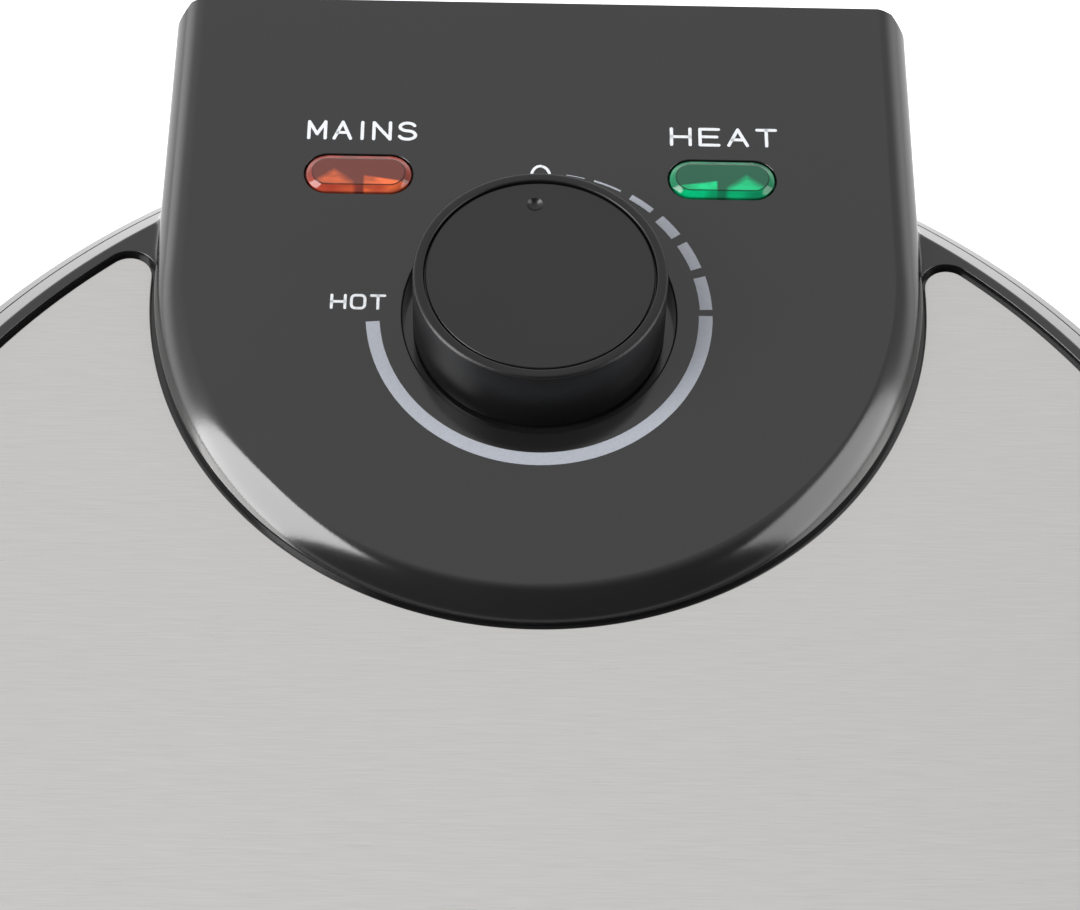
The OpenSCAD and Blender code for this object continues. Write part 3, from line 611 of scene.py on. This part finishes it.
def panel_path():
    """Points of the panel's outline as (x, y, nx, ny). It runs on past the rear, where the normal is nil."""
    front_steps, side_steps, rear_steps = 300, 70, 40
    rear = PANEL_REAR + 4
    turns = [pi + pi * k / front_steps for k in range(front_steps + 1)]
    out = [(PANEL_R * cos(t), PANEL_Y + PANEL_R * sin(t), cos(t), sin(t)) for t in turns]
    side = [PANEL_Y + (rear - PANEL_Y) * k / side_steps for k in range(1, side_steps + 1)]
    out += [(PANEL_R, y, 1.0, 0.0) for y in side]
    half = PANEL_R - EDGE_W - 1
    out += [(half - 2 * half * k / rear_steps, rear, 0.0, 0.0) for k in range(rear_steps + 1)]
    return out + [(-PANEL_R, y, -1.0, 0.0) for y in reversed(side)]


def rear_cutters():
    """Blocks that give the panel its flat rear and chamfer the rear's upright corners."""
    low, high, out = RIM_Z - 2, LID_HIGH.z + 5, 6
    cutters = [block(-PANEL_R - out, PANEL_R + out, PANEL_REAR, PANEL_REAR + 10, low, high)]
    for side in (1, -1):
        a = Vector((side * (PANEL_R + out), PANEL_REAR - CHAMFER - out))
        b = Vector((side * (PANEL_R - CHAMFER - out), PANEL_REAR + out))
        corner = Vector((side * (PANEL_R + out), PANEL_REAR + out))
        outline = [a, corner, b] if side > 0 else [b, corner, a]
        cutters.append(loft([[Vector((v.x, v.y, z)) for v in outline] for z in (low, high)]))
    return cutters


def ease(value, low, high):
    t = min(max((value - low) / (high - low), 0.0), 1.0)
    return t * t * (3 - 2 * t)


def dome_top(x, y):
    """Height of the lid's top at (x, y): flat, then falling along the bevel."""
    r = hypot(x, y)
    return RING_Z - BEVEL_H * min(max((r - FLAT_R) / (LID_R - FLAT_R), 0.0), 1.0)


def panel_solid():
    """The raised panel: upright wall, a small flare over the lid's bevel, and a rounded shoulder."""
    path = panel_path()
    flare_r, flare_steps, shoulder_steps = 1.3, 5, 18
    rise, fall = (73.4, 78), (89.5, 92)
    least_wall, sunk, apart = 0.1, 0.01, 0.02

    def ring(inset, height):
        spots = [(x - nx * inset(x, y), y - ny * inset(x, y)) for x, y, nx, ny in path]
        return [Vector((x, y, height(x, y))) for x, y in spots]

    def flare(x, y):
        if abs(x) <= PANEL_R - 0.01:
            return 0.0
        return flare_r * ease(y, *rise) * (1 - ease(y, *fall))

    def drop(y):
        return min(EDGE_H, panel_z(y) - STEEL_Z - least_wall)

    def flare_ring(k):
        t = pi / 2 * k / flare_steps

        def height(x, y):
            top = panel_z(y) - drop(y) - apart * (flare_steps + 1 - k)
            return min(dome_top(x, y) - sunk + flare_r * (1 - cos(t)), top)
        return ring(lambda x, y: -flare(x, y) * (1 - sin(t)), height)

    def shoulder_ring(k):
        t = pi / 2 * k / shoulder_steps
        return ring(lambda x, y: EDGE_W * (1 - cos(t) ** EDGE_BEND),
                    lambda x, y: panel_z(y) - drop(y) * (1 - sin(t) ** EDGE_BEND))

    rings = [ring(lambda x, y: 0.0, lambda x, y: RIM_Z)]
    rings += [flare_ring(k) for k in range(flare_steps + 1)]
    rings += [shoulder_ring(k) for k in range(shoulder_steps + 1)]
    return combine(loft(rings), ("DIFFERENCE", rear_cutters()))


def stadium(length, width, steps=24):
    out = []
    for side, start in ((1, -pi / 2), (-1, pi / 2)):
        for k in range(steps + 1):
            t = start + pi * k / steps
            out.append((side * (length - width) / 2 + width / 2 * cos(t), width / 2 * sin(t)))
    return out


def lens_ring(side, h, grow):
    """Outline of a lens, grown by a margin, at a height above the panel."""
    v = (LENS_Y - DIAL_Y) / cos(TILT)
    outline = stadium(LENS_L + 2 * grow, LENS_W + 2 * grow)
    return [on_panel(side * LENS_X + a, v + b, h) for a, b in outline]


def lens_window(side):
    gap, lip = 0.28, 0.15
    levels = [(-6.5, gap), (-lip, gap)] + lip_levels(0, lip, gap) + [(2.0, gap + lip)]
    return loft([lens_ring(side, h, grow) for h, grow in levels])


def well_cutter():
    """The dial's well: a flat floor at WELL_Z and a rounded mouth that follows the sloping panel."""
    lip, steps = 0.3, 288
    turns = [2 * pi * k / steps for k in range(steps)]

    def ring(radius, height):
        spots = [(radius * cos(t), DIAL_Y + radius * sin(t)) for t in turns]
        return [Vector((x, y, height(y))) for x, y in spots]

    rings = [ring(WELL_R, lambda y: WELL_Z), ring(WELL_R, lambda y: panel_z(y) - lip)]
    rings += [ring(r, lambda y: panel_z(y) + h) for h, r in lip_levels(0, lip, WELL_R)]
    rings.append(ring(WELL_R + lip, lambda y: panel_z(y) + 4.0))
    return loft(rings)


def inner_panel():
    """Hollow inside the panel, above the deck and round the dial's well. It ends ahead of the hinge."""
    path = panel_path()
    boss_wall, hollow_rear = 2.4, 102

    def ring(height):
        return [Vector((x - nx * WALL, y - ny * WALL, height(y))) for x, y, nx, ny in path]
    hollow = loft([ring(lambda y: DECK_Z - 1), ring(lambda y: panel_z(y) - WALL)])
    boss = rod_z(WELL_R + boss_wall, WELL_Z - boss_wall, 110, 0, DIAL_Y)
    behind = block(-70, 70, hollow_rear, 130, 80, 110)
    return combine(hollow, ("DIFFERENCE", [boss, behind]))


def span_x(side, near, far):
    """The range of x from near to far on one side, lowest first."""
    return sorted((side * near, side * far))


def tower_pocket(side):
    """Room in the lid for a hinge tower as the lid turns and lifts."""
    x0, x1 = span_x(side, *POCKET_X)
    below = block(x0, x1, HINGE_Y - POCKET_R, HINGE_Y + POCKET_R, 37, 46)
    return combine(rod_x(POCKET_R, x0, x1, HINGE_Y, PART_Z), ("UNION", below))


def hinge_ear(side, near):
    x0, x1 = span_x(side, near, near + EAR_W)
    ear_r = PANEL_REAR - HINGE_Y
    body = block(x0, x1, HINGE_Y - ear_r, HINGE_Y + ear_r, PART_Z, PART_Z + ear_r)
    return combine(rod_x(ear_r, x0, x1, HINGE_Y, PART_Z), ("UNION", body))


def pin_hole(side):
    return rod_x(PIN_HOLE_R, *span_x(side, 26, 51), HINGE_Y, PART_Z)


def lid_moulding():
    bevel_z = RING_Z - BEVEL_H
    dome = revolve(rounded([(0, RIM_Z, 0), (LID_R, RIM_Z, 0.5), (LID_R, bevel_z, 0.9), (FLAT_R, RING_Z, 0.8),
                            (0, RING_Z, 0)]), ROUND_STEPS)
    lip, spindle_hole_r, lead_slot_x = 0.12, 5.0, 20
    levels = [(SEAT_Z, COVER_GAP), (RING_Z - lip, COVER_GAP)] + lip_levels(RING_Z, lip, COVER_GAP)
    levels.append((RING_Z + 4, COVER_GAP + lip))
    recess = flat_loft(lambda grow: recess_outline(grow, False), levels)
    spindle_hole = rod_z(spindle_hole_r, DECK_Z - 1, 100, 0, DIAL_Y)
    lead_slot = block(-lead_slot_x, lead_slot_x, LID_R + 1, LID_R + 9, RIM_Z - 1, RIM_Z + WALL + 1)
    lid = combine(
        dome,
        ("DIFFERENCE", recess),
        ("UNION", panel_solid()),
        ("DIFFERENCE", rod_z(LID_R - WALL, RIM_Z - 1, DECK_Z, segments=ROUND_STEPS)),
        ("DIFFERENCE", inner_panel()),
        ("UNION", [hinge_ear(side, near) for side in (1, -1) for near in EARS_X]),
        ("DIFFERENCE", [well_cutter(), spindle_hole]),
        ("DIFFERENCE", mirrored(lens_window)),
        ("DIFFERENCE", mirrored(tower_pocket)),
        ("DIFFERENCE", mirrored(pin_hole)),
        ("DIFFERENCE", lead_slot),
    )
    placed(lid, "lid_moulding", "lid", FINISH["shell_plastic"], ("lid_shell",), 28)


# ---- Dial and lenses ----

def knob():
    """The dial's body: a skirt open below, a hub with a stepped bore for the spindle, a seat for the disc."""
    foot, top = KNOB_LOW.z, KNOB_HIGH.z
    bore_r, hub_r, wall = 3.06, 5.6, 2
    hub_z, bore_z, roof_z, seat_z = foot + 3.4, foot + 8.1, foot + 8.55, top - 1.45
    seat_r, draft = CAP_R + 0.3, 0.15
    profile = rounded([
        (0, bore_z, 0), (bore_r, bore_z, 0), (bore_r, hub_z, 0), (hub_r, hub_z, 0.3), (hub_r, roof_z, 0.5),
        (KNOB_R - wall, roof_z, 0.5), (KNOB_R - wall, foot, 0.2), (KNOB_R, foot, 0.3),
        (KNOB_R - draft, top, 0.55), (seat_r, top, 0.25), (seat_r, seat_z, 0.1), (0, seat_z, 0)], 6)
    obj = moved(revolve(profile, 360), 0, DIAL_Y, 0)
    placed(obj, "dial_knob", "dial", FINISH["knob_plastic"], ("knob",), 40)


def knob_cap():
    """The dial's top disc, with a round dimple as its pointer."""
    low, high = CAP_LOW.z, CAP_HIGH.z
    rim_r, rim_z = CAP_R + 0.27, low + 0.6
    profile = rounded([(0, low, 0), (rim_r, low, 0), (rim_r, rim_z, 0.1), (CAP_R, rim_z, 0),
                       (CAP_R, high, 0.22), (0, high, 0)], 5)
    disc = moved(revolve(profile, 360), 0, DIAL_Y, 0)
    ball_r, lift, seat, steps = 1.5, 0.9, 12.4, 32
    turns = [pi * k / steps for k in range(1, steps)]
    arc = [(0, -ball_r)] + [(ball_r * sin(t), -ball_r * cos(t)) for t in turns] + [(0, ball_r)]
    ball = moved(revolve(arc, 64), -seat * sin(POINTER), DIAL_Y + seat * cos(POINTER), high + lift)
    disc = combine(disc, ("DIFFERENCE", ball))
    placed(disc, "dial_disc", "dial", FINISH["cap_plastic"], ("knob_cap",), 40)


def lens(side):
    """A lens: a low dome in its window, a flange under the panel's wall, and a dished underside."""
    name = "ready" if side > 0 else "power"
    colour = "green_lens" if side > 0 else "red_lens"
    flange = loft([lens_ring(side, h, 1.5) for h in (-WALL - 1.4, -WALL)])
    levels = [(-WALL - 0.4, -0.2), (-WALL + 0.3, 0.0), (-0.12, 0.0), (0.02, -0.06), (0.12, -0.16),
              (0.5, -0.85), (0.58, -1.0), (0.6, -1.15)]
    body = loft([lens_ring(side, h, grow) for h, grow in levels])
    dish = loft([lens_ring(side, h, grow) for h, grow in ((-6.0, -1.0), (-0.9, -1.0), (-0.65, -1.35))])
    obj = combine(body, ("UNION", flange), ("DIFFERENCE", dish))
    placed(obj, name + "_indicator", "lid", FINISH[colour], (name + "_lens",), 25)


# ---- Print on the panel ----

def letter_strokes():
    """Strokes of each letter in a box one unit wide and high."""
    def arc(cx, cy, rx, ry, a0, a1, n):
        turns = [radians(a0 + (a1 - a0) * k / n) for k in range(n + 1)]
        return [(cx + rx * cos(t), cy + ry * sin(t)) for t in turns]
    oval = [(0.28, 0), (0.72, 0)] + arc(0.72, 0.3, 0.28, 0.3, -90, 0, 5) + arc(0.72, 0.7, 0.28, 0.3, 0, 90, 5)
    oval += arc(0.28, 0.7, 0.28, 0.3, 90, 180, 5) + arc(0.28, 0.3, 0.28, 0.3, 180, 270, 5)
    return {
        "A": [[(0, 0), (0.5, 1), (1, 0)], [(0.18, 0.36), (0.82, 0.36)]],
        "E": [[(1, 1), (0, 1), (0, 0), (1, 0)], [(0, 0.52), (0.9, 0.52)]],
        "H": [[(0, 0), (0, 1)], [(1, 0), (1, 1)], [(0, 0.5), (1, 0.5)]],
        "I": [[(0.5, 0), (0.5, 1)]],
        "M": [[(0, 0), (0, 1), (0.5, 0.25), (1, 1), (1, 0)]],
        "N": [[(0, 0), (0, 1), (1, 0), (1, 1)]],
        "O": [oval],
        "S": [arc(0.5, 0.76, 0.46, 0.24, 20, 270, 12) + arc(0.5, 0.26, 0.5, 0.26, 90, -160, 12)],
        "T": [[(0, 1), (1, 1)], [(0.5, 1), (0.5, 0)]],
    }


def ink_line(points, width):
    """A line of print through points (u, v): a round-ended patch for each run, each a hair higher."""
    lift = 0.002
    out = []
    for i, (a, b) in enumerate(zip(points, points[1:])):
        start, end = Vector(a), Vector(b)
        along = (end - start).normalized()
        across = Vector((-along.y, along.x))
        middle = (start + end) / 2
        shape = stadium((end - start).length + width, width, 8)
        out.append(ink_patch([middle + along * x + across * y for x, y in shape], INK_T + lift * i))
    return out


def ink_patch(outline, top=INK_T):
    """A flat patch of print inside an outline of (u, v), with its underside sunk in the panel."""
    sunk = 0.2
    return loft([[on_panel(u, v, h) for u, v in outline] for h in (-sunk, top)])


def arc_patch(r_in, r_out, start, end):
    """Print between two radii round the dial, from start to end in degrees clockwise from the rear."""
    step = 1.5
    n = max(3, int((end - start) / step))
    turns = [radians(end - (end - start) * k / n) for k in range(n + 1)]
    outer = [(r_out * sin(t), r_out * cos(t)) for t in turns]
    inner = [(r_in * sin(t), r_in * cos(t)) for t in reversed(turns)]
    return ink_patch(outer + inner)


def word(text, u, v, width, height, letter_w, stroke):
    """A word from u to u + width, its letters standing on v."""
    shapes = letter_strokes()
    narrow = 0.3
    widths = [letter_w * (narrow if c == "I" else 1.0) for c in text]
    gap = (width - stroke - sum(widths)) / (len(text) - 1)
    out = []
    x = u + stroke / 2
    for c, w in zip(text, widths):
        for line in shapes[c]:
            out += ink_line([(x + a * w, v + stroke / 2 + b * (height - stroke)) for a, b in line], stroke)
        x += w + gap
    return out


def joined(objects):
    first = objects[0]
    chosen = {"active_object": first, "selected_editable_objects": objects, "selected_objects": objects}
    with bpy.context.temp_override(**chosen):
        bpy.ops.object.join()
    return first


def print_layer():
    """The heat scale, an arc that starts as five widening dashes, and the print's words and digit."""
    arc = (90.2, 265.5, 23.1, 25.1)
    hairline = (9.0, 15.5, 24.5, 24.62)
    dashes = ((18.9, 29.0, 24.45, 24.75), (33.2, 42.4, 24.0, 24.95), (46.5, 55.8, 23.4, 25.0),
              (59.5, 70.8, 23.4, 25.05), (74.4, 87.7, 23.3, 25.1))
    scale = [arc_patch(r_in, r_out, start, end) for start, end, r_in, r_out in (arc, hairline) + dashes]
    placed(joined(scale), "panel_scale", "lid", FINISH["scale_ink"], angle=40)

    bold, fine = 0.5, 0.42
    pieces = word("MAINS", -35.1, 30.0, 16.5, 3.5, 2.45, bold)
    pieces += word("HEAT", 19.4, 29.9, 16.2, 3.4, 2.8, bold)
    pieces += word("HOT", -30.3, 0.1, 8.1, 2.6, 1.95, fine)
    half_w, half_h, zero_v, steps = 1.35, 1.75, 24.0, 40
    turns = [2 * pi * k / steps for k in range(steps + 1)]
    pieces += ink_line([(half_w * sin(t), zero_v + half_h * cos(t)) for t in turns], fine)
    placed(joined(pieces), "panel_words", "lid", FINISH["word_ink"], angle=40)


# ---- Base ----

def block_outline(inset):
    """Outline of the base's rear block, with its rear corners rounded."""
    half, rear, corner, steps = 46 - inset, 120 - inset, 5, 10
    out = [(-half, 60), (half, 60)]
    for side, start in ((1, 0), (-1, pi / 2)):
        for k in range(steps + 1):
            t = start + pi / 2 * k / steps
            out.append((side * (half - corner) + corner * cos(t), rear - corner + corner * sin(t)))
    return out


def hinge_tower(side):
    """A tower with a round top and an upright slot, in which the hinge bush slides."""
    x0, x1 = span_x(side, *TOWER_X)
    top, slot_w = PART_Z + 4, 3.9
    slot_low, slot_high = 42.2, 53.8
    body = block(x0, x1, HINGE_Y - TOWER_R, HINGE_Y + TOWER_R, 22, top)
    slot = block(x0 - 1, x1 + 1, HINGE_Y - slot_w, HINGE_Y + slot_w, slot_low, slot_high)
    return combine(body, ("UNION", rod_x(TOWER_R, x0, x1, HINGE_Y, top)), ("DIFFERENCE", slot))


def base_moulding():
    floor_z, foot_r, knee_z, bowl_top = 9, 96, 22, 45
    bowl = revolve(rounded([(0, floor_z, 0), (foot_r, floor_z, 1.2), (BASE_R, knee_z, 6),
                            (BASE_R, bowl_top, 0.6), (0, bowl_top, 0)], 8), ROUND_STEPS)
    rear_levels = [(floor_z, 0.6), (9.3, 0.15), (9.8, 0.0)]
    rear_levels += [(z, -grow) for z, grow in edge_levels(37, 1.0)]
    rear = flat_loft(block_outline, rear_levels)
    inside = revolve([(0, 8.9), (foot_r - WALL, 8.9), (BASE_R - WALL, knee_z),
                      (BASE_R - WALL, bowl_top + 1), (0, bowl_top + 1)], ROUND_STEPS)
    hollow = flat_loft(block_outline, [(8, WALL), (27, WALL)])
    inlet = moved(rod(6.55, 6), 0, 116, INLET_Z, ("X", -90))
    lead_slot = block(-20, 20, HINGE_Y - 4, HINGE_Y + 4, 30, 38)
    base = combine(
        bowl,
        ("UNION", rear),
        ("DIFFERENCE", [inside, hollow]),
        ("UNION", mirrored(hinge_tower)),
        ("DIFFERENCE", [inlet, lead_slot]),
    )
    placed(base, "base_moulding", "base", FINISH["shell_plastic"], ("base_shell",), 28)


def foot(node):
    """A rubber foot with a groove in its sole and a plug through the base's floor."""
    low, high = box_mm(node)
    r = (high.x - low.x) / 2
    sole, shoulder, head = low.z, low.z + 9, high.z - 1.4
    plug_r = 2.5
    profile = rounded([
        (0, sole, 0), (r - 2.2, sole, 0.4), (r - 1.8, sole + 0.5, 0.3), (r - 1.2, sole, 0.4),
        (r - 0.9, sole, 0.4), (r, sole + 1.5, 0.8), (r - 0.5, shoulder, 0), (plug_r, shoulder, 0),
        (plug_r, head, 0), (3.3, head, 0.2), (2.6, high.z, 0.4), (0, high.z, 0)])
    obj = moved(revolve(profile, 96), (low.x + high.x) / 2, (low.y + high.y) / 2 - BODY_Y, 0)
    placed(obj, node + "_rubber", "base", FINISH["foot_rubber"], (node,), 35)


def gland():
    """The sleeve of the cord inlet: an inner flange, the part in the wall, an outer collar and a nose."""
    low, high = box_mm("cord_gland")
    front, nose = low.y - BODY_Y, high.y - BODY_Y
    length, wall = nose - front, nose - 8 - front
    bore_r, neck_r, flange_r, collar_r = 3.7, 6.5, 7.5, 8.5
    profile = rounded([
        (bore_r, 0, 0.3), (flange_r, 0, 0.3), (flange_r, 1.5, 0), (neck_r, 1.5, 0), (neck_r, wall, 0),
        (collar_r, wall, 0.1), (collar_r, wall + 2, 0.8), (5.9, wall + 2, 0.4), (5.5, wall + 3, 0),
        (5.3, length, 0.8), (bore_r, length, 0.5), (bore_r, 4, 0)])
    obj = moved(revolve(profile, 120), 0, front, INLET_Z, ("X", -90))
    placed(obj, "cord_inlet_gland", "base", FINISH["gland_plastic"], ("cord_gland",), 35)


# ---- Handles ----

def handle(node, name, wall_r, thick):
    """Rounded grip that grows out of the round wall, a little thinner at its root than at its tip."""
    low, high = box_mm(node)
    z = (low.z + high.z) / 2
    tip_y = low.y - BODY_Y
    root_y = 6 - wall_r
    root_w, tip_w = high.x, 24 + thick / 2
    round_steps, steps = 96, 40
    side_power, top_power, end_power = 2 / 6, 2 / 3, 2.2
    root_share, tip_gain, least = 0.93, 0.07, 0.02

    def signed(value, power):
        return abs(value) ** power * (1 if value > 0 else -1)

    rings = []
    for k in range(steps + 1):
        y = root_y + (tip_y - root_y) * sin(k / steps * pi / 2)
        along = (y + wall_r) / (tip_y + wall_r)
        reach = min(max(0.0, (y - tip_y) / (thick * 0.5)), 1.0)
        end = max((1 - (1 - reach) ** end_power) ** (1 / end_power), least)
        half_h = thick / 2 * (root_share + tip_gain * ease(along, 0.2, 0.8)) * end
        half_w = root_w - 1 + (tip_w - root_w) * max(along, 0) - thick / 2 * (1 - end)
        turns = [2 * pi * j / round_steps for j in range(round_steps)]
        spots = [(half_w * signed(cos(a), side_power), half_h * signed(sin(a), top_power)) for a in turns]
        rings.append([Vector((x, y, z + h)) for x, h in spots])
    wall = rod_z(wall_r + 0.05, z - 20, z + 20, segments=ROUND_STEPS)
    grip = combine(loft(rings), ("DIFFERENCE", wall))
    body = "lid" if "upper" in node else "base"
    placed(grip, name, body, FINISH["grip_plastic"], (node,), 35)


# ---- Cooking plates ----

def stud(x, y, floor_z, height, width):
    """Rings of a tapered stud with rounded corners: (height, inset, corner radius) at each level."""
    levels = [(-1.0, 0.0, 1.2), (0.0, 0.0, 1.2), (0.5, 0.35, 1.3), (height - 1.0, 0.95, 1.4),
              (height - 0.3, 1.2, 1.3), (height, 1.7, 1.0)]
    rings = []
    for h, inset, corner in levels:
        half = width / 2 - inset
        ring = []
        for quarter in range(4):
            for k in range(4):
                t = pi / 2 * (quarter + k / 3)
                cx = (half - corner) * (1 if quarter in (0, 3) else -1)
                cy = (half - corner) * (1 if quarter < 2 else -1)
                ring.append((x + cx + corner * cos(t), y + cy + corner * sin(t), floor_z + h))
        rings.append(ring)
    return rings


def rib(reach, floor_z, height, across):
    """One of the two ribs that part the waffle's quarters: (height, half thickness) at each level."""
    rings = []
    for h, thin in ((-1.0, 3.1), (0.0, 3.1), (8.2, 2.45), (9.2, 2.1), (height, 1.5)):
        corners = [(-reach, -thin), (reach, -thin), (reach, thin), (-reach, thin)]
        if not across:
            corners = [(-b, a) for a, b in corners]
        rings.append([Vector((a, b, floor_z + h)) for a, b in corners])
    return loft(rings)


def waffle_plate(half, body):
    """A cast plate with its studs and ribs. The upper one is the lower one's mirror image in the parting."""
    face, floor_z, back = PART_Z - 0.3, PART_Z - 13, PART_Z - 16.5
    waffle_r, wall_r, flange_r, flange_t = 89.0, 94, 104.2, 1.4
    plate = revolve(rounded([
        (0, back, 0), (wall_r, back, 1.0), (wall_r, face - flange_t, 0.5), (flange_r, face - flange_t, 0.3),
        (flange_r, face, 0.5), (waffle_r + 0.7, face, 1.0), (waffle_r - 0.8, floor_z, 2.0),
        (0, floor_z, 0)]), 360)
    pitch, width, height, rib_w, margin = 16.2, 11.0, 9.5, 5.0, 4
    first = rib_w / 2 + pitch / 2
    spots = [(first + i * pitch, first + j * pitch) for i in range(5) for j in range(5)]
    spots = [(x, y) for x, y in spots if hypot(x + width / 2, y + width / 2) < waffle_r - margin]
    studs = lofts([stud(sx * x, sy * y, floor_z, height, width)
                   for x, y in spots for sx in (1, -1) for sy in (1, -1)])
    ribs = [rib(waffle_r, floor_z, height, across) for across in (True, False)]
    plate = combine(plate, ("UNION", ribs), ("UNION", studs))
    if half == "upper":
        plate.data.transform(Matrix.Translation((0, 0, 2 * PART_Z)) @ Matrix.Scale(-1, 4, (0, 0, 1)))
        plate.data.flip_normals()
    nodes = (f"{half}_grid_plate", f"{half}_grid_studs")
    placed(plate, half + "_waffle_plate", body, FINISH["nonstick"], nodes, 32)


# ---- Light, floor and camera ----

def area_light(name, place, target, size, power):
    data = bpy.data.lights.new(name, "AREA")
    data.shape, data.size, data.size_y = "RECTANGLE", *size
    data.energy = power
    obj = bpy.data.objects.new(name, data)
    obj.location = place
    obj.rotation_euler = (Vector(target) - Vector(place)).to_track_quat("-Z", "Y").to_euler()
    bpy.context.scene.collection.objects.link(obj)


def studio():
    """White surroundings, brightest low down and at the rear, and a soft box on each side."""
    world = bpy.data.worlds.new("studio")
    bpy.context.scene.world = world
    world.use_nodes = True
    tree = world.node_tree
    background = tree.nodes["Background"]
    coords = tree.nodes.new("ShaderNodeTexCoord")
    split = tree.nodes.new("ShaderNodeSeparateXYZ")
    tree.links.new(coords.outputs["Generated"], split.inputs["Vector"])

    def span(source, low, high, start, end):
        node = tree.nodes.new("ShaderNodeMapRange")
        node.interpolation_type = "SMOOTHSTEP"
        for key, value in (("From Min", start), ("From Max", end), ("To Min", low), ("To Max", high)):
            node.inputs[key].default_value = value
        tree.links.new(source, node.inputs["Value"])
        return node.outputs["Result"]

    def math(kind, a, b):
        node = tree.nodes.new("ShaderNodeMath")
        node.operation = kind
        tree.links.new(a, node.inputs[0])
        tree.links.new(b, node.inputs[1])
        return node.outputs["Value"]

    # Brighter near the horizon; dim towards the front, less so low down; dimmer to the right.
    horizon = span(split.outputs["Z"], 2.1, 0.8, 0.06, 0.42)
    rear = span(split.outputs["Y"], 0.1, 1.0, -0.35, 0.05)
    low = span(split.outputs["Z"], 0.35, 0.0, 0.1, 0.3)
    right = span(math("SUBTRACT", split.outputs["X"], split.outputs["Y"]), 1.02, 0.7, -0.3, 0.2)
    strength = math("MULTIPLY", math("MULTIPLY", horizon, right), math("MAXIMUM", rear, low))
    tree.links.new(strength, background.inputs["Strength"])
    background.inputs["Color"].default_value = (1, 1, 1, 1)
    area_light("left_box", (-0.75, -0.17, 0.6), (0, -0.09, 0.35), (0.5, 1.1), 14.5)
    area_light("right_box", (0.8, -0.08, 0.5), (0, 0.0, 0.3), (0.6, 0.8), 5)
    bpy.context.scene.view_settings.view_transform = "Standard"


def floor():
    half, drop = 4, 0.0002
    grey = (0.7, 0.7, 0.7)
    f = Finish("floor_paper", grey, 0.8, Emission_Color=(1, 1, 1, 1), Emission_Strength=0.8)
    f.to("Roughness", f.span(f.noise(80, 2), 0.75, 0.9))
    z = CAD_BOX[0].z - drop
    corners = [(-half, -half, z), (half, -half, z), (half, half, z), (-half, half, z)]
    obj = solid(corners, [(0, 1, 2, 3)], "floor")
    obj.data.materials.append(f.material)


def camera():
    """The camera looks steeply down on the panel from in front, with a slight roll."""
    position = Vector((-4.1, -141.5, 405.3)) / MM
    target = Vector((-0.24, 62.85, 87.0)) / MM
    roll, focal, aside = radians(1.81), 88.48, 0.6 / MM
    back = (position - target).normalized()
    flat = Vector((-back.y, back.x, 0)).normalized()
    rise = back.cross(flat)
    right = flat * cos(roll) + rise * sin(roll)
    up = -flat * sin(roll) + rise * cos(roll)
    # The aim moves aside once the roll is set.
    back = (position - target - right * aside).normalized()
    right = up.cross(back).normalized()
    up = back.cross(right)
    data = bpy.data.cameras.new("camera")
    data.lens, data.sensor_width = focal, 36.0
    data.clip_start, data.clip_end = 0.01, 20.0
    obj = bpy.data.objects.new("camera", data)
    obj.matrix_world = Matrix((
        (right.x, up.x, back.x, position.x), (right.y, up.y, back.y, position.y),
        (right.z, up.z, back.z, position.z), (0, 0, 0, 1)))
    bpy.context.scene.collection.objects.link(obj)
    bpy.context.scene.camera = obj


studio()
floor()
camera()
lid_moulding()
steel_cover()
knob()
knob_cap()
lens(-1)
lens(1)
print_layer()
base_moulding()
for corner in ("front_left", "front_right", "rear_left", "rear_right"):
    foot("foot_" + corner)
gland()
handle("upper_handle", "upper_grip", wall_r=LID_R, thick=18)
handle("lower_handle", "lower_grip", wall_r=BASE_R, thick=16)
waffle_plate("lower", "base")
waffle_plate("upper", "lid")
